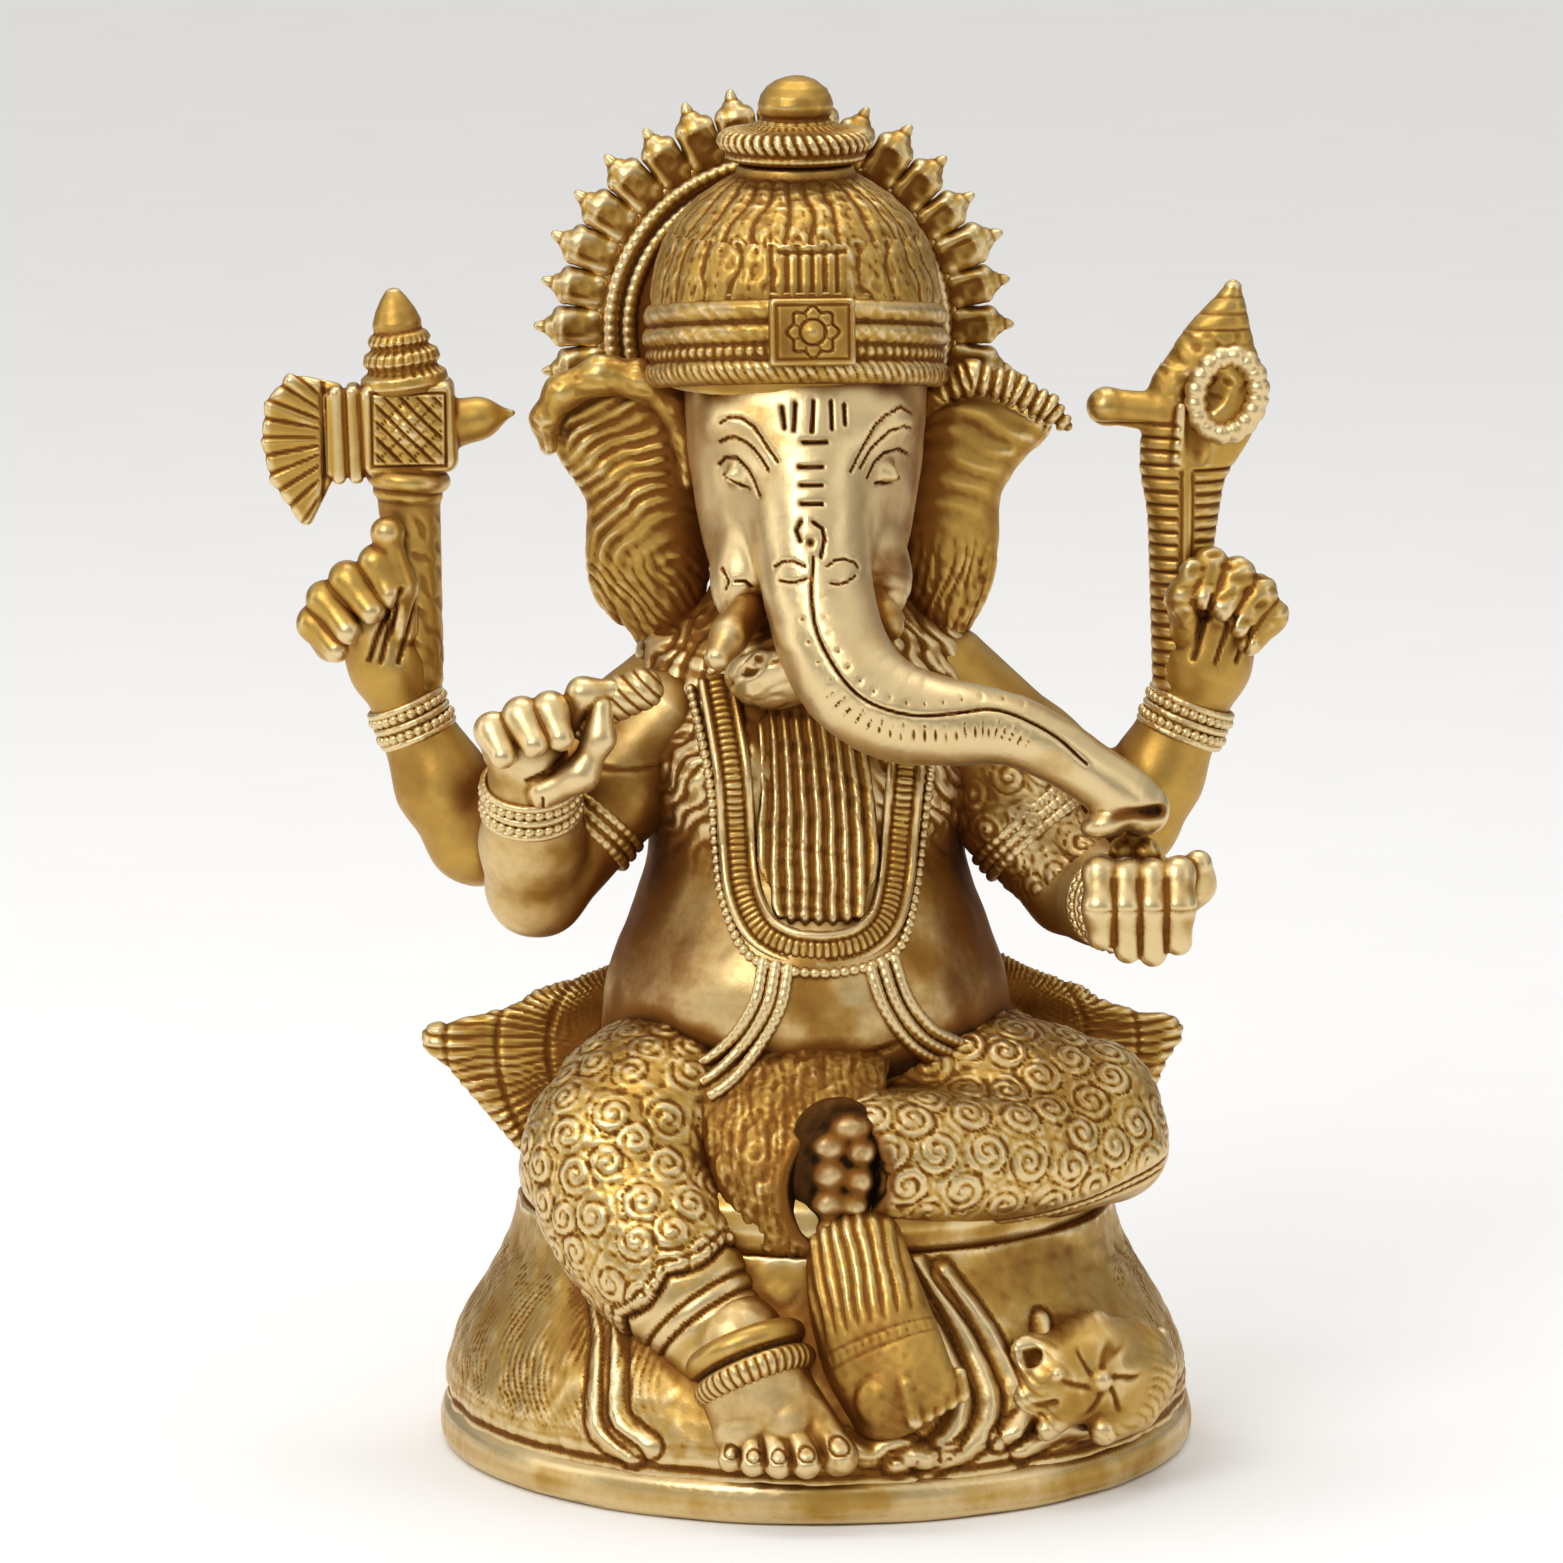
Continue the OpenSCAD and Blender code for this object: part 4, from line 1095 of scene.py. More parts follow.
fr = "front_right_upper_arm"
front_right = merge(
    0.8,
    arm_bars(fr, [((-14.5, 0, 72.5), 6.4), ((-20, -3, 66.5), 5.2), ((-28, -6.4, 57.6), 5.0)]),
    arm_bars(fr, [((-28, -6.4, 57.8), 5.1), ((-28.4, -9.4, 62.5), 5.0), ((-28.4, -12.6, 68.6), 4.3)]),
    arm_bars(fr, [((-28.4, -12.6, 68.6), 4.2), ((-28.8, -14.2, 72.2), 4.0)]),
)
fingers = [
    arm_bars(fr, [((-31.6, -14.6, 72.6), 1.7), ((-32.2, -17.0, 75.2), 1.55), ((-31.2, -19.2, 73.0), 1.3)]),
    arm_bars(fr, [((-28.8, -14.8, 73.6), 1.8), ((-29.4, -17.4, 76.6), 1.65), ((-28.2, -19.8, 74.2), 1.4)]),
    arm_bars(fr, [((-26.2, -15.0, 74.2), 1.8), ((-26.6, -17.4, 77.2), 1.6), ((-25.6, -19.4, 74.8), 1.35)]),
    arm_bars(fr, [((-25.2, -14.6, 75.0), 1.6), ((-23.4, -16.2, 78.6), 1.4), ((-20.6, -16.2, 79.0), 1.1)]),
    arm_bars(fr, [((-27.2, -16.6, 69.0), 1.8), ((-23.6, -17.6, 70.8), 1.55), ((-21.8, -17.4, 74.4), 1.35),
                  ((-21.6, -16.8, 77.4), 1.1)]),
]
front_right = merge(0.35, front_right, *fingers)


def sleeve_fr(p):
    t = (p - at(fr, -16, -1, 71.5)) @ unit((-12, -5, -14.5))
    return ease(t, 6, 7) * ease(-t, -15, -14)


def chase_front_right(p, n):
    height, ink = bare_skin(81)(p, n)
    wrist = groove((p - at(fr, -28.4, -13, 67.4)) @ unit((0, -0.4, 1)), 0.25) * facing(n)
    palm_line = engrave(p, [[(-27.4, 68.6), (-27.2, 65.2)], [(-29, 70.2), (-26.5, 71.2), (-24.4, 73.6)]], 0.2, facing(n))
    palm_line *= ease(-p[:, 1], 12, 14)
    line = np.maximum(0.8 * wrist, palm_line)
    return height - 0.25 * line, np.maximum(ink, 0.85 * line)


keep(cast("front_right_arm", front_right, (-36, -23, 50), (-7, 8, 81), 0.27, chase_front_right), "polished_brass",
     "front_right_upper_arm", "front_right_forearm", "front_right_hand")

rr = "rear_right_upper_arm"
rear_right = merge(
    1.0,
    arm_bars(rr, [((-14, 4, 74.5), 6.2), ((-24, 3.6, 67.5), 5.4), ((-34, 3.2, 61), 4.9)]),
    arm_bars(rr, [((-34, 3.2, 61), 4.9), ((-37.4, 3.2, 66.5), 4.6), ((-40.8, 3.4, 73.6), 3.3)]),
    arm_bars(rr, [((-40.8, 3.4, 73.8), 3.2), ((-42.6, 2.4, 78.4), 3.7), ((-44.4, 1.8, 82.4), 3.5)]),
)
for top, low_end in (((-43.6, -1.2, 89.4), (-42.4, -2.6, 86.4)), ((-46.6, -1.2, 87.6), (-44.2, -3.2, 84.8)),
                     ((-48.8, -0.8, 85.6), (-46.6, -3.0, 82.8)), ((-49.8, -0.2, 83.2), (-47.8, -2.2, 80.8))):
    tip = np.array(top)
    rear_right = merge(0.3, rear_right, arm_bars(rr, [(tuple(tip + (1.5, 2.8, -2.6)), 1.8), (top, 1.65), (low_end, 1.35)]))
rear_right = merge(0.4, rear_right,
                   arm_bars(rr, [((-41.2, 0.2, 82.6), 1.7), ((-41.4, -1.4, 87.0), 1.5), ((-42.4, -1.6, 91.4), 1.3)]),
                   ball(at(rr, -42.6, -1.6, 92.4), 1.75))


def chase_rear_right(p, n):
    height, ink = bare_skin(82)(p, n)
    lines = engrave(p, [[(-41.2, 87), (-43.4, 79.5)], [(-39.6, 85.6), (-41.6, 79.4)], [(-42.6, 84.6), (-44.6, 79.6)],
                        [(-38.4, 84), (-38.8, 79)]], 0.26, facing(n))
    return height - 0.35 * lines, np.maximum(ink, 0.9 * lines)


keep(cast("rear_right_arm", rear_right, (-53.4, -7, 55), (-7, 12, 96), 0.27, chase_rear_right), "chased_brass",
     "rear_right_upper_arm", "rear_right_forearm", "rear_right_hand")

fl = "front_left_upper_arm"
front_left = merge(
    0.9,
    arm_bars(fl, [((13.5, 0, 71), 6.2), ((19.5, -3, 64), 5.5), ((25.6, -5.6, 57.4), 5.2)]),
    arm_bars(fl, [((25.6, -5.6, 57.2), 5.1), ((28, -9.4, 56.6), 4.6), ((30, -13.4, 56.6), 4.2)]),
    arm_bars(fl, [((30, -14, 57), 4.4), ((31.4, -18, 57.4), 4.6)]),
)
for i in range(4):
    x = 27.0 + 2.55 * i
    drop = (0.4, -0.9, -1.2, -0.2)[i]
    finger = arm_bars(fl, [((x + 0.3, -18.6, 61.2 + 0.3 * drop), 1.5), ((x, -21.8, 61.4 + 0.3 * drop), 1.5),
                           ((x - 0.1, -23.3, 58.4), 1.5), ((x + 0.1, -22.8, 54.9 + drop), 1.35)])
    front_left = merge(0.55, front_left, finger)
front_left = merge(0.4, front_left, arm_bars(fl, [((34.8, -15.6, 57), 2.2), ((36.6, -18.2, 59.6), 1.8), ((36.8, -19.4, 61.8), 1.4)]))


def sleeve_fl(p):
    t = (p - at(fl, 14.5, -1, 69.5)) @ unit((11.5, -4, -13))
    return ease(t, 2.0, 3) * ease(-t, -16, -15) * ease(-p[:, 1], -4, -2)


def chase_front_left(p, n):
    height, ink = bare_skin(83, sleeve_fl)(p, n)
    lines = engrave(p, [[(28.3, 61), (28.4, 54.8)], [(30.8, 61), (30.9, 53.6)], [(33.4, 61), (33.4, 54)]], 0.26,
                    facing(n) * ease(-p[:, 1], 19, 20))
    joint = groove(p[:, 2] - 58.2, 0.18) * facing(n) * ease(-p[:, 1], 21, 22)
    line = np.maximum(lines, 0.6 * joint)
    return height - 0.16 * line, np.maximum(ink, 0.55 * line)


keep(cast("front_left_arm", front_left, (6, -26, 48), (40, 8, 79), 0.27, chase_front_left), "polished_brass",
     "front_left_upper_arm", "front_left_forearm", "front_left_hand")

rl = "rear_left_upper_arm"
rear_left = merge(
    1.0,
    arm_bars(rl, [((12.5, 4, 76), 6.2), ((22, 4, 68.4), 5.2), ((31.8, 4, 61.8), 4.8)]),
    arm_bars(rl, [((31.8, 4, 61.8), 4.7), ((34.4, 3.8, 66.6), 4.6), ((37.4, 3.6, 73.4), 3.8)]),
    arm_bars(rl, [((37.4, 3.6, 73.4), 3.7), ((39.2, 2.6, 78.2), 4.3), ((40.6, 2.2, 82.0), 4.0)]),
)
for i, (top, low_end) in enumerate((((39.2, -1.0, 88.6), (38.6, -2.6, 85.6)), ((42.0, -1.2, 87.6), (40.4, -3.0, 84.6)),
                                    ((44.2, -0.8, 85.8), (42.2, -2.8, 82.8)), ((45.4, -0.2, 83.6), (43.2, -2.4, 81.0)))):
    tip = np.array(top)
    rear_left = merge(0.3, rear_left, arm_bars(rl, [(tuple(tip + (-1.5, 2.8, -2.4)), 1.8), (top, 1.6), (low_end, 1.3)]))
rear_left = merge(0.4, rear_left, arm_bars(rl, [((37.2, 0.6, 81.6), 1.8), ((36.4, -1.6, 85.2), 1.5), ((37.4, -2.2, 88.4), 1.3)]))


def chase_rear_left(p, n):
    height, ink = bare_skin(84)(p, n)
    lines = engrave(p, [[(39.4, 86), (37.6, 79.4)], [(41.6, 84), (39.8, 79)], [(43.4, 82.6), (42.0, 79)]], 0.26, facing(n))
    studs = np.clip(speckle(p, 2.2, 85), 0, 1) * ease(p[:, 2], 81, 84)
    return height - 0.35 * lines - 0.25 * studs, np.maximum.reduce([ink, 0.8 * lines, 0.5 * studs])


keep(cast("rear_left_arm", rear_left, (5.5, -6, 55), (48.5, 12, 92), 0.27, chase_rear_left), "chased_brass",
     "rear_left_upper_arm", "rear_left_forearm", "rear_left_hand")

# %% [markdown]
# ## What the hands hold
# Axe and goad are castings of their own. The axe is a fan blade, a ridged neck, a square socket and a
# spike, under a stack of rings. The goad is a leaf with a round prong, and a noose hangs on it.

# %% Axe
AXE = at("axe_head", -40.8, 2.4, 102.2)
shaft = pill(at("axe_shaft", -39.6, 2.8, 77.5), at("axe_shaft", -40.6, 2.4, 97.5), 2.5, 3.2)
lean = (0, -7, 0)
socket = merge(0.5, block(AXE + (0.4, 0, 0.4), (4.7, 3.3, 4.6), 1.2, (0, -3, 0)),
               egg(AXE + (0.4, -0.6, 0.4), (3.8, 3.4, 3.8)))
blade_parts = [block(AXE + (-5.0, 0, -0.3), (0.7, 2.2, 4.9), 0.6, (0, -2, 0)),
               block(AXE + (-6.7, 0, -0.4), (0.65, 2.0, 4.9), 0.6, (0, -2, 0)),
               block(AXE + (-5.8, 0, -0.3), (2.2, 1.6, 4.3), 0.6, (0, -2, 0))]
edge_points = [AXE + np.array(v, float) for v in ((-11.2, 0, 4.9), (-13.2, 0, 2.6), (-13.6, 0, -1.0), (-12.8, 0, -4.8),
                                                 (-10.0, 0, -8.8))]
for a, b in zip(edge_points, edge_points[1:]):
    blade_parts.append(triangle(a, b, AXE + (-6.6, 0, -0.6), 0.75))
blade_parts.append(triangle(edge_points[0], AXE + (-7, 0, 4.0), AXE + (-6.6, 0, -0.6), 0.8))
blade_parts.append(triangle(edge_points[-1], AXE + (-7.6, 0, -4.0), AXE + (-6.6, 0, -0.6), 0.8))
spike_base = AXE + (4.6, 0, 0.6)
spike = merge(1.0, pill(spike_base, AXE + (7.4, 0, 1.1), 2.6, 2.0), pill(AXE + (7.4, 0, 1.1), AXE + (10.6, 0, 1.6), 1.9, 0.35))
collar = merge(0.4, hoop(AXE + (0.3, 0, -4.9), (0.1, 0, 1), 3.2, 1.0), egg(AXE + (0.3, 0, -4.9), (3.7, 3.7, 1.3)),
               hoop(AXE + (0.2, 0, -6.4), (0.1, 0, 1), 2.9, 0.6))
axe_shape = merge(0.35, shaft, socket, merge(0.3, *blade_parts), spike, collar)


def chase_axe(p, n):
    q = p - AXE
    front = np.abs(n[:, 1]) > 0.3
    face = ease(-np.abs(q[:, 0] - 0.4), -3.5, -3.2) * ease(-np.abs(q[:, 2] - 0.4), -3.5, -3.2) * front
    hatch = np.maximum(rows((q[:, 0] + q[:, 2]) * 0.707, 1.15, 0.17), 0.6 * rows((q[:, 0] - q[:, 2]) * 0.707, 1.15, 0.13)) * face
    inset = np.maximum(np.abs(q[:, 0] - 0.4), np.abs(q[:, 2] - 0.4))
    frame_line = groove(inset - 3.7, 0.22) * front * ease(-inset, -4.4, -4.2)
    fan = ease(-q[:, 0], 8.2, 8.8)
    spread = np.arctan2(q[:, 2] + 0.6, -(q[:, 0] + 4.0)) * 8
    blade_lines = rows(spread, 1.5, 0.24) * fan * ease(-q[:, 0], 8, 9)
    neck = groove(q[:, 0] + 8.1, 0.3) * front
    lower = ease(-p[:, 2], -95, -93)
    pits = np.clip(speckle(p, 2.2, 91), 0, 1) * lower
    ink = np.maximum.reduce([0.9 * hatch, frame_line, 0.75 * blade_lines, 0.9 * neck, 0.5 * pits])
    return -0.28 * ink, ink


keep(cast("axe", axe_shape, (-56, -3, 73), (-29, 8, 108.8), 0.25, chase_axe), "chased_brass", "axe_shaft", "axe_head")

cap = turned_axes(lean)
cap_foot = AXE + (0, 0, 4.6)
cap_line = [(0, -0.6), (3.7, -0.6), (4.3, 0.1), (4.2, 0.9), (3.5, 1.4), (3.3, 1.8), (3.8, 2.4), (3.6, 3.2), (2.9, 3.6),
            (2.7, 3.9), (3.1, 4.4), (2.8, 5.0), (2.3, 5.3), (2.35, 6.2), (1.9, 7.4), (1.2, 8.6), (0.6, 9.4), (0, 9.6)]
cap_turned = lathe(cap_line)
keep(cast("axe_finial", lambda p: cap_turned((p - cap_foot) @ cap) - 0.1, cap_foot - (5.4, 5.2, 1.6), cap_foot + (5, 5.2, 10.6), 0.22,
          lambda p, n: (-0.14 * rows(np.arctan2(p[:, 1] - cap_foot[1], p[:, 0] - cap_foot[0]) * 3.4, 0.9, 0.17)
                        * ease(-p[:, 2], -112.2, -111.6) * ease(p[:, 2], 107.6, 108.2),
                        0.4 * rows(np.arctan2(p[:, 1] - cap_foot[1], p[:, 0] - cap_foot[0]) * 3.4, 0.9, 0.17)
                        * ease(-p[:, 2], -112.2, -111.6) * ease(p[:, 2], 107.6, 108.2))),
     "chased_brass", "axe_finial")

# %% Goad and noose
goad = Sweep([at("goad_head", *v) for v in ((36.6, 2.6, 76.5), (36.6, 2.6, 88), (36.8, 2.5, 94), (36.9, 2.5, 98.5),
                                             (38.4, 2.5, 103.5), (39.6, 2.5, 107), (40.2, 2.5, 110.5), (41.2, 2.5, 114.2),
                                             (41.6, 2.5, 116.0))],
             [(2.8, 2.8), (3.2, 2.8), (3.7, 2.7), (4.6, 2.6), (5.7, 2.5), (5.4, 2.3), (3.9, 2.1), (1.9, 1.6), (0.9, 0.9)],
             up=(0, 1, 0), steps=26)
goad_shape = merge(0.5, goad, pill(at("goad_head", 34, 2.5, 103.6), at("goad_head", 29.4, 2.5, 104.2), 2.0, 1.75),
                   ball(at("goad_head", 29.0, 2.4, 104.2), 1.95))
goad_shape = carve(0.5, goad_shape, egg(at("goad_head", 38.6, -0.6, 106.0), (3.1, 2.0, 2.5), (0, -30, 0)),
                   egg(at("goad_head", 38.2, -0.6, 101.8), (1.5, 1.4, 3.6)))
goad_shape = merge(0.4, goad_shape, pill(at("goad_head", 36.0, 0.3, 98.8), at("goad_head", 36.3, -0.2, 104.4), 0.8, 0.45))


def chase_goad(p, n):
    x, z = p[:, 0], p[:, 2]
    front = facing(n)
    bars = rows(z, 1.35, 0.22) * ease(-x, -36.6, -35.9) * ease(-z, -104, -102)
    beads = rows(z + 0.4, 1.2, 0.22) * ease(x, 37.2, 38.0) * ease(-z, -99, -98)
    middle = np.maximum(groove(x - 36.4, 0.2), groove(x - 37.6, 0.2)) * ease(-z, -98.5, -97.5)
    top = np.clip(speckle(p, 2.0, 93), 0, 1) * ease(z, 104, 107) * ease(-z, -113, -111)
    ring = rows(z, 1.6, 0.22) * ease(z, 110, 111)
    ink = np.maximum.reduce([bars, beads, 0.8 * middle, 0.6 * top, 0.5 * ring]) * np.maximum(front, 0.3)
    return -0.26 * ink, 0.85 * ink


keep(cast("goad", goad_shape, (26, -3, 72.5), (46, 7, 117.6), 0.25, chase_goad), "chased_brass", "goad_shaft", "goad_head")

# %% Held tusk and sweets
tusk_bits = limb((at("hand_tusk", -23.6, -14.6, 75), 1.4), (at("hand_tusk", -21.5, -15, 77), 1.8),
                 (at("hand_tusk", -19.4, -15.3, 78.2), 1.9), (at("hand_tusk", -17.4, -15.4, 78.8), 1.9))
keep(cast("hand_tusk", merge(0.4, tusk_bits, ball(at("hand_tusk", -17.6, -15.6, 79.0), 2.1)), (-27, -19, 71), (-13, -11, 83), 0.24,
          lambda p, n: (-0.2 * rows(p[:, 0] + p[:, 2], 1.6, 0.2), 0.4 * rows(p[:, 0] + p[:, 2], 1.6, 0.2))),
     "polished_brass", "hand_tusk")

sweet_balls = []
for ring_r, count, height, r in ((2.5, 6, 60.6, 1.65), (1.35, 3, 62.8, 1.5), (0.0, 1, 64.2, 1.3)):
    for i in range(count):
        a = 2 * math.pi * i / count + ring_r
        sweet_balls.append(ball(at("sweets", 30.8 + ring_r * math.cos(a), -17.6 + 0.9 * ring_r * math.sin(a), height), r))
keep(cast("sweets", merge(0.25, *sweet_balls), (26, -23, 58), (36, -12, 66.5), 0.24,
          lambda p, n: (-0.15 * np.clip(speckle(p, 1.6, 95), 0, 1), 0.5 * np.clip(speckle(p, 1.6, 95), 0, 1))),
     "chased_brass", "sweets")

# %% [markdown]
# ## Head and trunk
# The head is the most handled part, so it is nearly smooth: a broad brow, a trunk that grows out of it
# in one sweep and curls over to the sweets, a blunt tusk, and fine engraved lines. Head and trunk are
# one casting. The lines are drawn on the front as flat strokes and pressed into the metal.

# %% Head, trunk and engraved lines
FACE_X = -1.1


def head_at(x, y, z):
    return at("head", x, y, z)


skull = level_body([[82, -0.5, 5.5, 6], [86, -2, 8.4, 8.4], [90, -2.4, 9.8, 9.8], [95, -2, 10.9, 10.6],
                    [100, -1.5, 11.6, 11.6], [105, -0.5, 12.0, 12.4], [109, 0.5, 12.2, 12.4], [113, 1, 11, 11]], FACE_X)
TRUNK = [((-1.0, -6.0, 105.5), (7.4, 6.0)), ((-1.0, -8.8, 101.5), (6.9, 6.2)), ((-0.9, -11.0, 97.5), (6.2, 6.0)),
         ((-0.8, -12.8, 94), (5.8, 5.8)), ((-0.6, -14.4, 90.5), (5.5, 5.6)), ((0.0, -16.3, 87), (5.4, 5.4)),
         ((1.0, -18.2, 83.4), (5.3, 5.3)), ((3.3, -20.0, 79.8), (5.2, 5.2)), ((7.6, -21.2, 77.3), (4.9, 4.9)),
         ((13, -21.5, 76.4), (4.2, 4.4)), ((18, -21.0, 75.7), (3.5, 3.9)), ((22.5, -20.6, 73.6), (3.2, 3.4)),
         ((26.4, -20.2, 71.0), (3.0, 3.1)), ((29.4, -20.0, 68.8), (3.1, 3.0)), ((31.4, -19.8, 67.4), (2.6, 2.6))]
trunk = Sweep([at("trunk", *c) for c, _ in TRUNK], [r for _, r in TRUNK], up=(0, 1, 0.1), steps=40)
head_shape = merge(
    2.2,
    skull,
    egg(head_at(-6.6, -8.6, 104.6), (4.6, 3.8, 3.0), (0, 0, 15)),
    egg(head_at(4.6, -8.6, 104.6), (4.6, 3.8, 3.0), (0, 0, -15)),
    egg(head_at(-7.6, -8.6, 88.6), (3.2, 3.8, 4.6)),
    egg(head_at(6.2, -8.2, 88.8), (3.0, 3.6, 4.4)),
    egg(head_at(-3.2, -9.0, 80.4), (6.4, 5.0, 4.4), (0, -20, 0)),
)
head_shape = merge(2.6, head_shape, trunk)
head_shape = merge(0.7, head_shape,
                   egg(head_at(-7.6, -10.6, 99.6), (2.0, 1.1, 1.1), (0, -20, 20)),
                   egg(head_at(5.9, -10.5, 99.8), (2.0, 1.1, 1.1), (0, 20, -20)),
                   egg(head_at(27.6, -21.0, 66.4), (2.6, 2.3, 1.5), (0, -20, 0)))
head_shape = carve(0.5, head_shape,
                   egg(head_at(-6.9, -15.0, 80.6), (1.1, 2.6, 2.6), (0, 35, 0)),
                   egg(head_at(6.8, -14.2, 84.6), (2.2, 3.4, 2.4), (0, -20, 0)),
                   pill(head_at(26.4, -24.4, 67.3), head_at(32.8, -21.8, 67.6), 0.4, 0.6))
STROKES_WIDE = [
    [(-3.8, 106.4), (-3.6, 104.5)], [(-2.5, 106.8), (-2.7, 104.3)], [(-0.7, 107.0), (-0.9, 104.2)],
    [(1.0, 106.9), (1.1, 104.4)], [(2.3, 106.6), (2.4, 104.8)], [(-1.8, 103.2), (0.6, 103.2)],
    [(-2.2, 100.9), (0.1, 100.9)], [(-2.1, 99.2), (0.0, 99.2)], [(-2.1, 97.5), (0.0, 97.5)],
    [(-2.1, 95.9), (-2.6, 95.0), (-2.2, 94.0)], [(-0.9, 95.8), (0.0, 95.2), (0.2, 94.2), (-0.2, 92.6)],
]
STROKES_FINE = [
    [(-9.8, 104.7), (-8.9, 105.3), (-7.8, 105.3), (-6.6, 104.5), (-6.0, 103.7), (-5.2, 102.5), (-4.3, 101.3)],
    [(-9.8, 102.6), (-9.0, 103.2), (-8.3, 103.3), (-7.3, 102.9), (-6.5, 102.2), (-5.8, 101.3), (-5.2, 100.4)],
    [(-9.9, 100.2), (-9.2, 101.1), (-8.2, 101.2), (-7.2, 100.2), (-6.6, 99.2), (-6.0, 97.8)],
    [(-9.4, 99.3), (-8.3, 98.6), (-7.0, 98.3)],
    [(2.9, 100.3), (3.5, 101.3), (4.4, 102.8), (5.4, 104.5), (6.4, 105.4), (8.0, 106.1), (9.6, 104.9)],
    [(3.9, 100.5), (5.1, 102.3), (6.9, 103.8), (8.4, 104.1), (9.6, 103.4)],
    [(4.6, 99.4), (5.4, 100.8), (6.4, 101.6), (7.8, 101.7), (9.0, 100.8)], [(5.4, 98.8), (6.6, 98.4), (7.9, 98.8)],
    [(-4.7, 91.4), (-3.9, 92.0), (-2.9, 92.1), (-1.8, 91.7)], [(-1.6, 90.6), (-2.7, 90.2), (-3.4, 90.1), (-4.2, 90.2)],
    [(0.4, 91.7), (1.2, 92.2), (2.0, 92.3), (3.2, 91.8), (3.5, 91.3)], [(3.2, 90.6), (2.4, 90.2), (1.5, 90.0), (0.7, 90.1)],
    [(-9.7, 90.2), (-9.0, 89.0), (-9.3, 88.2)], [(-8.4, 89.0), (-7.4, 89.1), (-6.8, 88.5)],
]
CENTRE_LINE = smooth_line([(-0.9, 92.6), (-1.2, 89.0), (-0.6, 85.3), (1.6, 81.5), (4.2, 79.2), (8.1, 78.0), (11.7, 78.0),
                           (16.1, 78.3), (19.7, 77.1), (22.8, 75.2), (25.6, 72.6)], 40)


def chase_head(p, n):
    front = facing(n) * ease(-p[:, 1], 6.5, 8.5)
    q = p[:, [0, 2]]
    wide = engrave(p, STROKES_WIDE, 0.26, front)
    fine = engrave(p, STROKES_FINE, 0.17, front)
    dot = groove(size_of(q - (-1.2, 93.9)), 0.5) * front
    on_trunk = ease(-p[:, 1], 14.5, 16)
    d, run = line_distance(q, CENTRE_LINE)
    line = groove(d, 0.2) * front * on_trunk
    lowest = np.interp(p[:, 0], CENTRE_LINE[12:, 0], CENTRE_LINE[12:, 1])
    below = p[:, 2] < lowest
    fringe = rows(run, 0.95, 0.13) * groove(d - 2.0, 0.75) * below * ease(run, 11, 13) * ease(-run, -34, -31)
    specks = rows(run, 1.9, 0.2) * groove(d - 1.1, 0.3) * ease(run, 3, 5) * ease(-run, -34, -30)
    ink = np.maximum.reduce([wide, 0.85 * fine, dot, line, 0.75 * fringe * front, 0.5 * specks * front])
    s, _, b, _, _ = trunk.where(p)
    inner = ease(b, 0.5, 2) * ease(s, 16, 20)
    rings = rows(s, 1.6, 0.25) * inner
    pits = np.clip(speckle(p, 2.2, 101), 0, 1) * ease(-p[:, 2], -86, -82) * ease(-p[:, 0], 1, 4) * ease(p[:, 1], -15, -12)
    mouth = pill(head_at(26.4, -24.4, 67.3), head_at(33.2, -21.8, 67.6), 0.55)
    tip = ease(-mouth(p), -0.9, 0.1)
    behind = ease(p[:, 1], 1, 5) * ease(-p[:, 2], -108, -106)
    hair = rows(np.arctan2(p[:, 0] - FACE_X, p[:, 1]) * 11 + 0.5 * speckle(p, 7, 103), 1.5, 0.28) * behind
    height = 0.05 * speckle(p, 5, 102) - 0.24 * ink - 0.12 * rings - 0.25 * pits - 0.25 * hair
    # Painted shade on the sides of the face beside the trunk, darker on the right, as if turned from the light.
    across = p[:, 0] - FACE_X
    shade = (0.78 * ease(across, 4.0, 8.0) + 0.56 * ease(-across, 5.0, 9.5)) * ease(p[:, 2], 84, 90)
    shade *= facing(n) * (0.85 + 0.25 * speckle(p, 6, 104))
    return height, np.maximum.reduce([1.45 * ink, shade, 0.25 * rings, 0.5 * pits, 1.2 * tip, 0.5 * hair])


keep(cast("head_and_trunk", head_shape, (-14, -28, 61), (36, 14, 113.5), 0.26, chase_head), "polished_brass", "head", "trunk")

# %% Tusks
keep(cast("right_tusk", limb((at("right_tusk", -7.2, -12.4, 86.0), 1.9), (at("right_tusk", -9.0, -14.8, 84.0), 1.7),
                             (at("right_tusk", -10.2, -16.4, 82.2), 1.3)), (-13, -19, 79), (-4, -9, 89), 0.22,
          lambda p, n: (-0.2 * groove(size_of(p - at("right_tusk", -8.4, -16.2, 84.2)), 0.45),
                        0.9 * groove(size_of(p - at("right_tusk", -8.4, -16.2, 84.2)), 0.45))), "polished_brass", "right_tusk")
keep(cast("left_tusk", limb((at("left_tusk", 4.8, -11, 87), 1.9), (at("left_tusk", 6.0, -13.4, 85.6), 1.7),
                            (at("left_tusk", 6.6, -14.4, 84.8), 1.5)), (1, -18, 81), (10, -8, 90), 0.24), "polished_brass",
     "left_tusk")

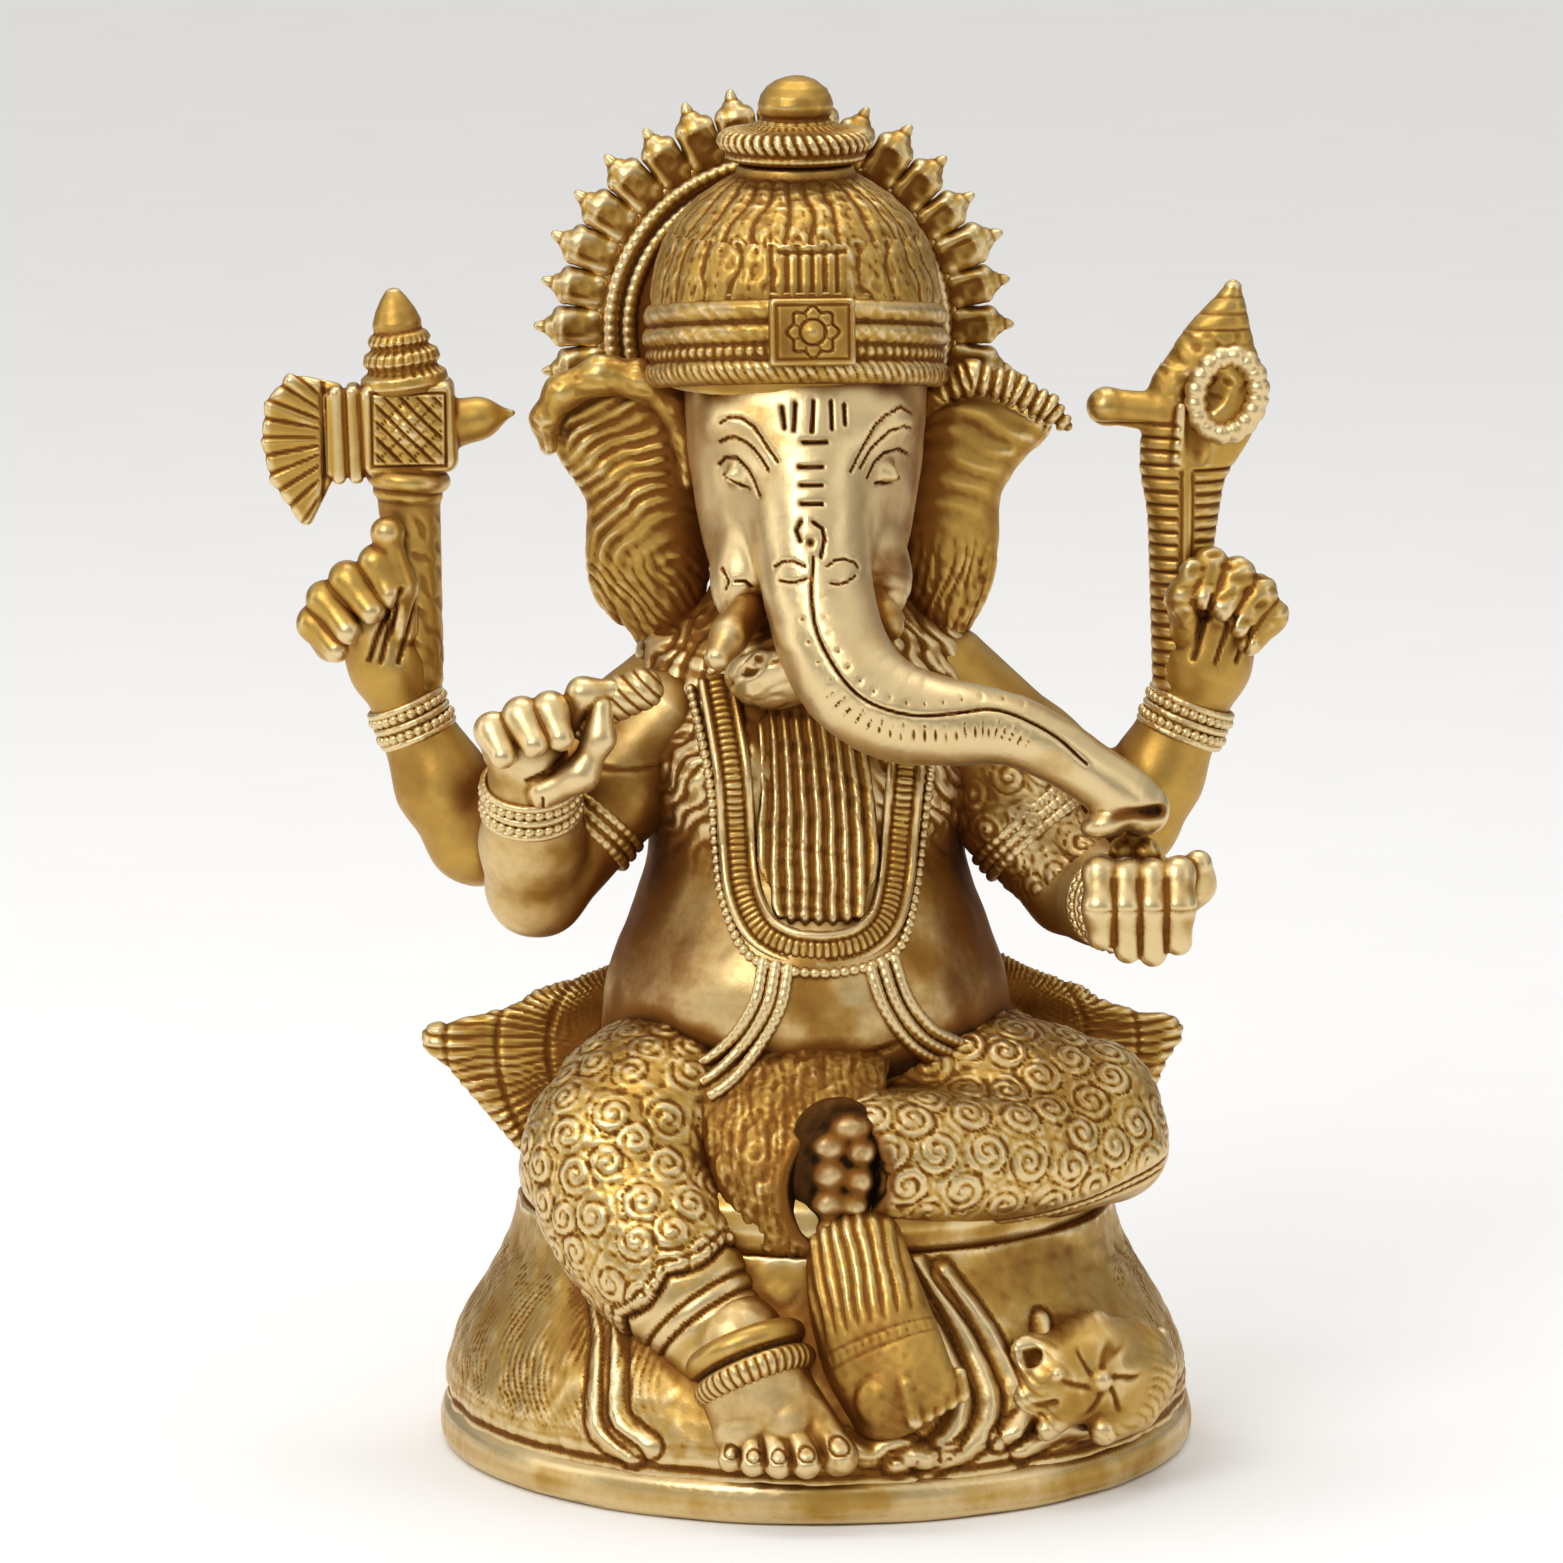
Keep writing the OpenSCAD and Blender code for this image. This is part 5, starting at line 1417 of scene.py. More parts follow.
# %% Ears
def flap(table, y0, cup):
    """A hanging flap. Each row is height, x of the middle, half width, half thickness."""
    table = smooth_line(table, 50)

    def f(p):
        z = np.clip(p[:, 2], table[0, 0], table[-1, 0])
        x, w, t = (np.interp(z, table[:, 0], table[:, i]) for i in (1, 2, 3))
        u = (p[:, 0] - x) / w
        v = (p[:, 1] - y0 - cup * u * u) / t
        k0 = np.sqrt(np.abs(u) ** 2.6 + v * v)
        side = (k0 - 1) * np.minimum(t, w) * np.clip(k0, 0.6, 1)
        over = np.maximum(table[0, 0] - p[:, 2], p[:, 2] - table[-1, 0])
        return np.where(over > 0, np.sqrt(np.maximum(side, 0) ** 2 + over**2), np.maximum(side, over))

    return f


right_ear = merge(
    1.2,
    flap([[79.5, -15.2, 2.2, 1.3], [84, -15.4, 4.4, 2.0], [88.5, -15.4, 5.0, 2.2], [92, -16.2, 5.4, 2.2], [95.5, -17, 6.2, 2.2],
          [99, -18.2, 7.3, 2.2], [102.6, -19.2, 7.9, 2.2], [105, -19.2, 7.2, 2.0], [107.4, -19.6, 4.0, 1.4]], 3.4, 0.6),
    egg(at("right_ear", -17, 4.2, 92), (5.6, 2.6, 10), (0, 14, 0)),
)
rim_knots = [((-26.6, 1.4, 100.6), 0.9), ((-26.9, 0.8, 103.4), 1.35), ((-25.2, 0.2, 106.2), 1.65), ((-21.4, 0, 107.9), 1.8),
             ((-17.2, 0, 107.4), 1.85), ((-14.2, 0.4, 105.2), 1.7), ((-12.9, 0.6, 101.6), 1.3), ((-12.6, 1, 97), 0.8)]
rim = limb(*[(at("right_ear", *c), r) for c, r in rim_knots])
right_ear = merge(0.35, carve(0.8, right_ear, egg(at("right_ear", -19.6, -1.0, 101.2), (5.8, 3.0, 4.6))), rim)
RIM_LINE = np.array([[c[0], c[2]] for c, _ in rim_knots])


def chase_right_ear(p, n):
    q = p[:, [0, 2]]
    centre = np.array([-13.6, 87.0])
    r = size_of(q - centre)
    d, _ = line_distance(q, RIM_LINE)
    inside = ease(d, 1.7, 2.3) * ease(-p[:, 2], -107, -105)
    wander = r + 0.35 * speckle(p, 7, 111) + 0.5 * speckle(p, 16, 115)
    fold = np.cos(2 * math.pi * wander / 1.55)
    fade = ease(p[:, 2], 86, 92) * inside * (0.7 + 0.3 * speckle(p, 6, 116))
    low_part = ease(-p[:, 2], -92, -86)
    strokes = rows(p[:, 0] * 0.8 + p[:, 2] * 0.6 + 0.4 * speckle(p, 5, 117), 1.1, 0.2) * low_part
    grain = np.clip(speckle(p, 1.5, 112), 0, 1) * (0.35 + 0.65 * np.maximum(low_part, 1 - inside))
    back = ease(n[:, 1], 0, 0.4)
    ribs = np.cos(2 * math.pi * r / 2.6) * back
    height = 0.17 * fold * fade * facing(n) - 0.16 * strokes - 0.10 * grain + 0.15 * ribs
    ink = np.maximum.reduce([0.28 * np.clip(-fold, 0, 1) * fade, 0.35 * strokes, 0.3 * grain])
    return height, ink


keep(cast("right_ear", right_ear, (-29, -3, 77), (-9, 9, 110.5), 0.27, chase_right_ear), "chased_brass", "right_ear")

left_ear = merge(
    1.2,
    flap([[79.5, 12.6, 2.2, 1.3], [84, 12.6, 4.0, 2.0], [88.5, 12.2, 4.7, 2.2], [92, 12.4, 5.0, 2.2], [95.5, 13.2, 5.6, 2.2],
          [98.6, 14.4, 6.4, 2.2], [101.4, 16.0, 7.6, 2.1], [103.6, 15.8, 7.2, 1.9], [106.2, 14.4, 4.8, 1.3]], 3.2, 0.8),
    egg(at("left_ear", 13, 4.2, 92), (5.4, 2.6, 9.6), (0, -8, 0)),
)
comb_knots = [((9.8, 1.2, 103.4), 0.9), ((12.0, 0.2, 106.2), 1.4), ((15.4, -0.8, 107.6), 1.6), ((19.4, -1.2, 106.6), 1.6),
              ((22.8, -1.0, 104.6), 1.4), ((25.0, -0.4, 102.6), 0.9)]
comb_rim = limb(*[(at("left_ear", *c), r) for c, r in comb_knots])
left_ear = merge(0.4, carve(0.9, left_ear, egg(at("left_ear", 17.4, -1.4, 102.0), (5.4, 3.0, 3.6), (0, 20, 0))), comb_rim)
COMB_LINE = np.array([[c[0], c[2]] for c, _ in comb_knots])


def chase_left_ear(p, n):
    q = p[:, [0, 2]]
    r = size_of(q - np.array([10.5, 86.0]))
    d, run = line_distance(q, COMB_LINE)
    inside = ease(d, 1.6, 2.2)
    fold = np.cos(2 * math.pi * (r + 0.4 * speckle(p, 9, 113)) / 2.3)
    fade = ease(p[:, 2], 90, 96) * inside * facing(n)
    comb = rows(run, 1.15, 0.24) * (1 - inside) * ease(run, 2, 4)
    low_part = ease(-p[:, 2], -93, -87)
    strokes = rows(p[:, 0] - 0.25 * p[:, 2] + 0.5 * speckle(p, 5, 118), 1.25, 0.22) * low_part
    grain = np.clip(speckle(p, 1.5, 114), 0, 1) * (0.15 + 0.85 * low_part)
    height = 0.10 * fold * fade - 0.5 * comb - 0.18 * strokes - 0.12 * grain
    return height, np.maximum.reduce([0.15 * np.clip(-fold, 0, 1) * fade, 0.6 * comb, 0.4 * strokes, 0.35 * grain])


keep(cast("left_ear", left_ear, (5, -3.6, 77), (27, 9, 110), 0.27, chase_left_ear), "chased_brass", "left_ear")

# %% [markdown]
# ## Crown
# The crown is turned: a dome, then a ribbed disc and a ball on top. Three rolls and a row of beads go
# round the brow, higher in front than at the sides, and a square plate with a rosette sits on them.

# %% Crown dome and band
low, high = span("crown_dome")
CROWN = np.array([(low[0] + high[0]) / 2, (low[1] + high[1]) / 2])
BROW = low[2] - 0.5
TILT = 0.17
dome_line = [(0, BROW - 0.4), (13.4, BROW - 0.4), (14.2, BROW + 4), (14.3, BROW + 8), (13.9, BROW + 11), (13.0, BROW + 13.6),
             (11.6, BROW + 15.9), (9.7, BROW + 17.8), (7.6, BROW + 19.2), (6.0, BROW + 20.2), (5.7, BROW + 21.2), (0, BROW + 21.2)]
dome = lathe(dome_line, *CROWN)


def crown_turn(p):
    return np.arctan2(p[:, 0] - CROWN[0], -(p[:, 1] - CROWN[1]))


def chase_dome(p, n):
    turn = crown_turn(p)
    z = p[:, 2]
    count = 26
    tier = (z > BROW + 14.6) * 1.0
    phase = (turn / (2 * math.pi) * count + 0.5 * tier + 0.22 * speckle(p, 6, 121)) % 1 - 0.5
    width = 2 * math.pi * np.hypot(p[:, 0] - CROWN[0], p[:, 1] - CROWN[1]) / count
    across = np.abs(phase) * width
    edge = groove(across - width * 0.5, 0.26)
    core = groove(across, 0.15) * (0.5 + 0.5 * np.sign(np.sin(z * 5.5)))
    body = np.cos(phase * math.pi) ** 0.6
    step = groove(z - BROW - 14.6 - 0.7 * np.cos(phase * 2 * math.pi), 0.25)
    dots = np.clip(speckle(p, 1.7, 122), 0, 1)
    panel = ease(-np.abs(p[:, 0] - CROWN[0] - 1.2), -3.6, -3.3) * ease(z, BROW + 8.5, BROW + 9) * ease(-z, -BROW - 14.4, -BROW - 14)
    panel *= facing(n)
    bars = rows(p[:, 0] - CROWN[0] - 1.2, 1.25, 0.22) * panel
    bar_ends = np.maximum(groove(z - BROW - 9.2, 0.2), groove(z - BROW - 14.0, 0.25)) * panel
    high_part = ease(z, BROW + 7, BROW + 8.5) * ease(-z, -BROW - 20.6, -BROW - 19.6)
    rest = (1 - panel) * high_part
    brushed = rows(turn * 14 + 0.6 * speckle(p, 5, 124), 1.0, 0.16) * (0.5 + 0.5 * speckle(p, 4, 125))
    height = (0.18 * body - 0.15 * edge - 0.08 * core - 0.10 * step - 0.12 * dots - 0.08 * brushed) * rest
    height -= 0.26 * (bars + bar_ends)
    ink = np.maximum.reduce([0.38 * edge, 0.3 * core, 0.25 * step, 0.45 * dots, 0.3 * brushed]) * rest
    scar = pill(at("crown_dome", -11.2, -13, 119.6), at("crown_dome", -7.8, -14.6, 120.2), 0.45)
    gash = ease(-scar(p), -0.9, 0.2)
    ink = np.maximum.reduce([ink, 0.65 * bars, 0.5 * bar_ends, 0.9 * gash])
    return height - 0.3 * gash, ink


keep(cast("crown_dome", dome, (-17.5, -14.5, BROW - 1), (13.5, 16.5, BROW + 22), 0.27, chase_dome), "crown_brass", "crown_dome")


def level_with_tilt(p):
    """Heights measured from a plane that rises towards the front half of the crown."""
    q = p.copy()
    q[:, 2] += TILT * np.minimum(p[:, 1] - CROWN[1], 0)
    return q


ROLLS = ((1.1, 14.1, 1.35), (3.0, 14.2, 0.75), (4.8, 14.1, 1.15), (7.0, 13.9, 1.2))
band_core = lathe([(11.6, BROW - 0.3), (14.3, BROW - 0.3), (14.3, BROW + 8), (11.6, BROW + 8)], *CROWN)
roll_hoops = [hoop(np.array([*CROWN, BROW - 1.0 + h]), (0, 0, 1), r, thick) for h, r, thick in ROLLS]


def band_shape(p):
    q = level_with_tilt(p)
    d = band_core(q) + 0.25
    for f in roll_hoops:
        d = soft_min(d, f(q), 0.25)
    return d


def chase_band(p, n):
    turn = crown_turn(p) * 14.5
    level = level_with_tilt(p)[:, 2] - BROW + 1.0
    slant = rows(turn + 0.5 * level, 0.95, 0.17) * groove(level - 1.1, 1.2)
    beads = rows(turn, 1.1, 0.26) * groove(level - 3.0, 0.8)
    worn_and_unshaded = rows(turn - level, 1.3, 0.12) * groove(level - 4.8, 1.0) * 0.4
    between = np.maximum.reduce([groove(level - 2.3, 0.22), groove(level - 3.7, 0.22), groove(level - 5.9, 0.3),
                                 groove(level - 8.3, 0.3)])
    ink = np.maximum.reduce([0.6 * slant, 0.8 * beads, worn_and_unshaded])
    out = np.clip((n[:, 0] * (p[:, 0] - CROWN[0]) + n[:, 1] * (p[:, 1] - CROWN[1])) / 6, 0, 1)
    grain = np.clip(speckle(p, 1.6, 126), 0, 1)
    height = (-0.16 * slant - 0.22 * beads - 0.1 * worn_and_unshaded - 0.08 * grain) * out
    return height, np.maximum.reduce([0.75 * ink, 0.6 * between, 0.3 * grain]) * out


keep(cast("crown_band", band_shape, (-18.5, -15.8, BROW - 2), (14.5, 17.6, BROW + 11.5), 0.27, chase_band), "crown_brass",
     "crown_band")

# %% Plate, disc and finial of the crown
PLATE = at("crown_plate", -0.9, -14.4, 113.9)
plate_turn = turned_axes((-9, 0, 3))
plate_block = block(np.zeros(3), (4.2, 1.3, 3.3), 0.5)
plate_boss = egg(np.array([0, -0.6, 0]), (1.0, 1.0, 1.0))


def plate_shape(p):
    q = (p - PLATE) @ plate_turn
    return soft_min(plate_block(q), plate_boss(q), 0.2)


def chase_plate(p, n):
    q = (p - PLATE) @ plate_turn
    r = np.hypot(q[:, 0], q[:, 2])
    turn = np.arctan2(q[:, 2], q[:, 0])
    front = ease(-q[:, 1], 0.4, 0.8)
    square = np.maximum(np.abs(q[:, 0]) - 0.9, np.abs(q[:, 2]))
    frame_line = groove(square - 2.65, 0.18)
    petals = 0.25 * np.cos(turn * 8)
    rosette = np.maximum(groove(r - 2.3 - petals, 0.18), groove(r - 1.25, 0.17))
    rays = groove(((turn * 8 / (2 * math.pi)) % 1 - 0.5) * r * 0.8, 0.13) * ease(r, 1.3, 1.5) * ease(-r, -2.3, -2.1)
    ink = np.maximum.reduce([0.75 * frame_line, rosette, 0.6 * rays]) * front
    return -0.24 * ink, 0.85 * ink


keep(cast("crown_plate", plate_shape, PLATE - (5.4, 2.6, 4.8), PLATE + (5.4, 2.6, 4.8), 0.2, chase_plate), "crown_brass",
     "crown_plate")

low, high = span("crown_disc")
DISC = low[2]
disc = lathe([(0, DISC + 0.2), (5.4, DISC + 0.2), (5.0, DISC + 1.0), (5.2, DISC + 1.5), (6.6, DISC + 1.7), (7.0, DISC + 2.1),
              (6.8, DISC + 2.5), (7.5, DISC + 2.9), (7.9, DISC + 3.6), (7.7, DISC + 4.3), (7.0, DISC + 4.8), (5.0, DISC + 5.0),
              (4.2, DISC + 5.4), (0, DISC + 5.4)], *CROWN)


def chase_disc(p, n):
    turn = crown_turn(p) * 7.6
    rim_part = ease(p[:, 2], DISC + 2.5, DISC + 2.8)
    slant = rows(turn + 0.35 * (p[:, 2] - DISC), 1.15, 0.24) * rim_part
    lower = rows(turn, 0.9, 0.15) * (1 - rim_part) * 0.4
    neck = groove(p[:, 2] - DISC - 1.2, 0.5) * 0.6
    ink = np.maximum(0.75 * slant, lower)
    flat = ease(n[:, 2], 0.85, 0.95) * ease(-np.hypot(p[:, 0] - CROWN[0], p[:, 1] - CROWN[1]), -5.4, -5.0)
    return (-0.35 * slant - 0.1 * lower) * (1 - flat), np.maximum(ink * (1 - flat), neck)


keep(cast("crown_disc", disc, (-10.5, -7.6, DISC - 0.5), (6.5, 9.6, DISC + 6), 0.24, chase_disc), "crown_brass", "crown_disc")

low, high = span("crown_finial")
TOP = high[2]
FIN = low[2]
finial = lathe([(0, FIN), (3.7, FIN), (3.9, FIN + 0.4), (3.6, FIN + 0.9), (3.2, FIN + 1.1), (3.5, FIN + 1.5), (3.75, FIN + 2.4),
                (3.5, FIN + 3.4), (2.9, FIN + 4.2), (2.0, FIN + 4.85), (1.0, FIN + 5.2), (0, TOP)], *CROWN)
keep(cast("crown_finial", finial, (-7, -4, FIN - 0.6), (3, 6, TOP + 0.6), 0.22,
          lambda p, n: (0.04 * speckle(p, 3, 123) - 0.12 * rows(crown_turn(p) * 3.6, 1.1, 0.2) * ease(-p[:, 2], -FIN - 1.2, -FIN - 0.9),
                        0.5 * groove(p[:, 2] - FIN - 1.1, 0.25))), "crown_brass", "crown_finial")

# %% [markdown]
# ## Halo
# Behind the crown stands a flat ring with two twisted cords, and a fan of rounded petals round it.
# One petal is sculpted once, and a Geometry Nodes tree sets a copy of it on each point of an arc.

# %% Metals
# Deep and black colour the patina and chased lines, and also the painted shade in hollows and between parts.
PALE = (0.74, 0.57, 0.30)
GOLD = (0.53, 0.325, 0.075)
DEEP = (0.25, 0.098, 0.018)
BLACK = (0.030, 0.014, 0.006)


def group_input(tree, name, kind, value):
    socket = tree.interface.new_socket(name, in_out="INPUT", socket_type=kind)
    socket.default_value = value


def aged_and_shaded_brass_group():
    """Colour, roughness and height of brass from how deep in a hollow a point lies, which brings patina and painted
    shade, and from its chased lines.
    """
    tree = bpy.data.node_groups.new("aged_and_shaded_brass", "ShaderNodeTree")
    nodes, link = tree.nodes, tree.links.new
    group_input(tree, "Pale", "NodeSocketColor", (*PALE, 1))
    group_input(tree, "Gold", "NodeSocketColor", (*GOLD, 1))
    group_input(tree, "Deep", "NodeSocketColor", (*DEEP, 1))
    group_input(tree, "Polish", "NodeSocketFloat", 0.5)
    group_input(tree, "Dirt_and_shade", "NodeSocketFloat", 1.0)
    group_input(tree, "Toning", "NodeSocketFloat", 0.3)
    for name, kind in (("Color", "NodeSocketColor"), ("Roughness", "NodeSocketFloat"), ("Height", "NodeSocketFloat")):
        tree.interface.new_socket(name, in_out="OUTPUT", socket_type=kind)
    start, end = nodes.new("NodeGroupInput"), nodes.new("NodeGroupOutput")
    place = nodes.new("ShaderNodeTexCoord").outputs["Object"]

    def attribute(name):
        node = nodes.new("ShaderNodeAttribute")
        node.attribute_name = name
        return node.outputs["Fac"]

    def noise(scale, detail, rough=0.5):
        node = nodes.new("ShaderNodeTexNoise")
        node.inputs["Scale"].default_value = scale
        node.inputs["Detail"].default_value = detail
        node.inputs["Roughness"].default_value = rough
        link(place, node.inputs["Vector"])
        return node.outputs["Fac"]

    def remap(value, a, b, c=0.0, d=1.0):
        node = nodes.new("ShaderNodeMapRange")
        node.interpolation_type = "SMOOTHSTEP"
        for i, v in enumerate((value, a, b, c, d)):
            if isinstance(v, (int, float)):
                node.inputs[i].default_value = v
            else:
                link(v, node.inputs[i])
        return node.outputs["Result"]

    def mix(fac, a, b):
        node = nodes.new("ShaderNodeMix")
        node.data_type = "RGBA"
        link(fac, node.inputs["Factor"])
        for socket, v in ((node.inputs[6], a), (node.inputs[7], b)):
            if isinstance(v, tuple):
                socket.default_value = v
            else:
                link(v, socket)
        return node.outputs[2]

    cloud = noise(90, 3)
    grain = noise(900, 4, 0.6)
    fine = noise(3200, 2, 0.6)
    # These two attributes hold patina and chased lines, and also painted shade: in hollows, between parts and on sides
    # turned from the light.
    hollow = attribute("hollow")
    ink = attribute("ink")
    spread = maths(tree, "MULTIPLY", maths(tree, "SUBTRACT", grain, 0.5), 0.22)
    toned = maths(tree, "MULTIPLY", remap(cloud, 0.45, 0.72), start.outputs["Toning"])
    dirt_and_shade = maths(tree, "ADD", maths(tree, "MULTIPLY", hollow, start.outputs["Dirt_and_shade"]), maths(tree, "ADD", spread, toned))
    worn_and_unshaded = maths(tree, "SUBTRACT", start.outputs["Polish"], maths(tree, "MULTIPLY", dirt_and_shade, 1.3))
    base = mix(remap(worn_and_unshaded, -0.10, 0.60), start.outputs["Gold"], start.outputs["Pale"])
    brown = mix(remap(dirt_and_shade, 0.22, 1.0), base, start.outputs["Deep"])
    # Lines, patina and painted shade go deep brown, then black where they are strongest.
    crust_and_shade = maths(tree, "ADD", maths(tree, "MULTIPLY", ink, 0.75), maths(tree, "MULTIPLY", hollow, 0.35))
    crust_and_shade = maths(tree, "ADD", crust_and_shade, maths(tree, "MULTIPLY", spread, 0.8))
    etched_and_shaded = mix(remap(crust_and_shade, 0.22, 0.75), brown, start.outputs["Deep"])
    colour = mix(remap(crust_and_shade, 0.70, 1.25), etched_and_shaded, (*BLACK, 1))
    link(colour, end.inputs["Color"])
    rough = maths(tree, "ADD", remap(dirt_and_shade, 0.0, 0.9, 0.35, 0.60), maths(tree, "MULTIPLY", maths(tree, "SUBTRACT", fine, 0.5), 0.16))
    link(maths(tree, "ADD", rough, maths(tree, "MULTIPLY", ink, 0.15)), end.inputs["Roughness"])
    height = maths(tree, "ADD", maths(tree, "MULTIPLY", grain, 0.6), maths(tree, "MULTIPLY", fine, 0.4))
    link(height, end.inputs["Height"])
    return tree


brass_group = aged_and_shaded_brass_group()
METALS = {}


def metal(slot, polish, dirt_and_shade, toning, tint=1.0, pit=0.08, deep=DEEP, gold=GOLD, pale=PALE):
    """A brass of its own for one slot of the record."""
    material = bpy.data.materials.new(slot)
    material.use_nodes = True
    nodes, link = material.node_tree.nodes, material.node_tree.links.new
    shader = nodes["Principled BSDF"]
    shader.inputs["Metallic"].default_value = 1.0
    group = nodes.new("ShaderNodeGroup")
    group.node_tree = brass_group
    for name, colour in (("Pale", pale), ("Gold", gold), ("Deep", deep)):
        group.inputs[name].default_value = (*[c * tint for c in colour], 1)
    group.inputs["Polish"].default_value = polish
    group.inputs["Dirt_and_shade"].default_value = dirt_and_shade
    group.inputs["Toning"].default_value = toning
    bump = nodes.new("ShaderNodeBump")
    bump.inputs["Strength"].default_value = 0.5
    bump.inputs["Distance"].default_value = pit * MM
    link(group.outputs["Height"], bump.inputs["Height"])
    link(group.outputs["Color"], shader.inputs["Base Color"])
    link(group.outputs["Roughness"], shader.inputs["Roughness"])
    link(bump.outputs["Normal"], shader.inputs["Normal"])
    METALS[slot] = material
    return material


# Polish, then how strongly patina and painted shade darken the metal, then random toning.
metal("polished_brass", 0.75, 0.9, 0.45)
metal("chased_brass", 0.25, 1.0, 0.25)
metal("crown_brass", 0.30, 1.05, 0.35, 0.95)
metal("cloth_relief_brass", 0.28, 1.1, 0.30)
metal("pedestal_brass", 0.54, 0.85, 0.42)
metal("foot_band_brass", 0.45, 0.8, 0.35)
print("metals:", sorted(METALS))

# %% Halo ring, cords and petals
HALO = at("halo_ring", -3.5, 13.0, 111.0)
halo_in, halo_out, halo_half = 11.4, 18.0, 118.0


def halo_ring_shape(p):
    q = p - HALO
    r = np.hypot(q[:, 0], q[:, 2])
    turn = np.degrees(np.arctan2(q[:, 0], q[:, 2]))
    box_r = np.maximum(halo_in - r, r - halo_out)
    end = (np.abs(turn) - halo_half) * r * math.pi / 180
    return np.maximum.reduce([box_r, np.abs(q[:, 1]) - 1.1, end]) - 0.15


def chase_halo(p, n):
    r = np.hypot(p[:, 0] - HALO[0], p[:, 2] - HALO[2])
    pits = np.clip(speckle(p, 1.8, 131), 0, 1) * 0.6
    line = groove(r - 17.0, 0.4) + groove(r - 15.2, 0.4)
    return -0.15 * pits, np.maximum(0.5 * pits, 0.7 * np.clip(line, 0, 1) * facing(n))


keep(cast("halo_ring", halo_ring_shape, HALO - (20, 2, 13), HALO + (20, 2, 20), 0.32, chase_halo), "crown_brass", "halo_ring")

cords = cord_tree()
front_of_ring = HALO - (0, 1.3, 0)
halo_arcs = [arc_points(front_of_ring, r, 90 - 117, 90 + 117, 160) for r in (14.9, 16.7)]
piece = grow("halo_cords", path_object("halo_paths", halo_arcs), cords, METALS["crown_brass"],
             Radius=0.00092, Notch_pitch=0.00105, Notch_depth=0.22)
keep(piece, "crown_brass")

petal_body = merge(0.4, block(np.array([2.3, 0, 0]), (2.6, 1.6, 1.95), 1.0),
                   pill(np.array([3.9, 0, 0]), np.array([6.3, 0, 0]), 1.75, 0.5))


def chase_petal(p, n):
    ring = groove(p[:, 0] - 5.75, 0.2)
    crease = groove(p[:, 2] - 0.5 - 0.08 * p[:, 0], 0.22) * ease(p[:, 0], 1.0, 2.0) * ease(-p[:, 0], -5.4, -4.6)
    grain = np.clip(speckle(p, 1.4, 133), 0, 1)
    return 0.08 * speckle(p, 3, 132) - 0.14 * ring - 0.1 * crease - 0.06 * grain, np.maximum.reduce([0.45 * ring, 0.3 * crease, 0.2 * grain])


petal = cast("petal_pattern", petal_body, (-1.2, -2.2, -2.6), (7.6, 2.2, 2.6), 0.3, chase_petal)
CAST.pop()
arc = path_object("petal_arc", [arc_points(np.zeros(3), 17.6, 90 - 112, 90 + 112, 93)])
piece = grow("halo_petals", arc, fan_tree(petal), METALS["crown_brass"], Count=21)
piece.data.transform(Matrix.Translation(HALO * MM))
bpy.data.objects.remove(petal)
keep(piece, "crown_brass", "halo_petals")

# %% [markdown]
# ## Ornaments
# Necklace, chest cloth and cords are wires and strips soldered on. To lie on the skin they are first
# drawn flat, as x and z, and then each point is dropped from the front onto the torso's own surface.

# %% Dropping a line onto the body
body_shape = merge(2.0, torso_shape, loin)


def drape(shape, line, lift, start=-34.0):
    """Drops points (x, z) from the front onto a shape and lifts them off it by a distance in mm."""
    out = []
    for x, z in line:
        ys = np.arange(start, 10, 0.1)
        pts = np.stack([np.full_like(ys, x), ys, np.full_like(ys, z)], 1)
        d = shape(pts) - lift
        hit = int(np.argmax(d < 0))
        out.append(pts[hit])
    return np.array(out)


U_LINE = smooth_line([(-10.0, 78.0), (-9.2, 73.5), (-8.5, 68.4), (-8.1, 61.9), (-7.4, 57.4), (-5.3, 54.6), (-2.4, 53.7),
                      (0.2, 53.5), (2.8, 53.8), (5.5, 55.0), (7.1, 57.9), (7.8, 62.7), (8.3, 68.2), (8.9, 73.5), (9.4, 77.5)], 46)
u_path = drape(body_shape, U_LINE, 0.15)
u_path = smooth_line(u_path[::3], 60)
necklace = Sweep(u_path, [(1.75, 0.75)] * len(u_path), up=(0, 1, 0), steps=60)


def chase_necklace(p, n):
    s, a, _, _, _ = necklace.where(p)
    front = facing(n)
    a = a * np.sign((necklace.s[len(necklace.s) // 2][2]) or 1)
    ridge = groove(np.abs(a) - 1.45, 0.42)
    hatch = rows(s, 0.72, 0.14) * ease(-np.abs(a), -1.15, -0.9)
    gap = groove(np.abs(a) - 0.95, 0.2)
    ink = np.maximum(0.6 * hatch, 0.8 * gap) * front
    return (0.35 * ridge - 0.22 * hatch - 0.22 * gap) * front, ink


keep(cast("necklace", necklace, (-14, -25, 50), (13, -6, 81), 0.22, chase_necklace), "chased_brass", "necklace")

beads = bead_tree()
outer = np.array([(x * 1.27 + 0.1, (z - 53.5) * 1.0 + 51.4 if abs(x) < 6.2 else z - 0.9) for x, z in U_LINE])
outer = smooth_line(drape(body_shape, outer, 0.25)[::3], 60)
keep(grow("necklace_beads", path_object("bead_path", [outer]), beads, METALS["chased_brass"],
          Bead_radius=0.00058, Spacing=0.00098, Flatten=1.0), "chased_brass")

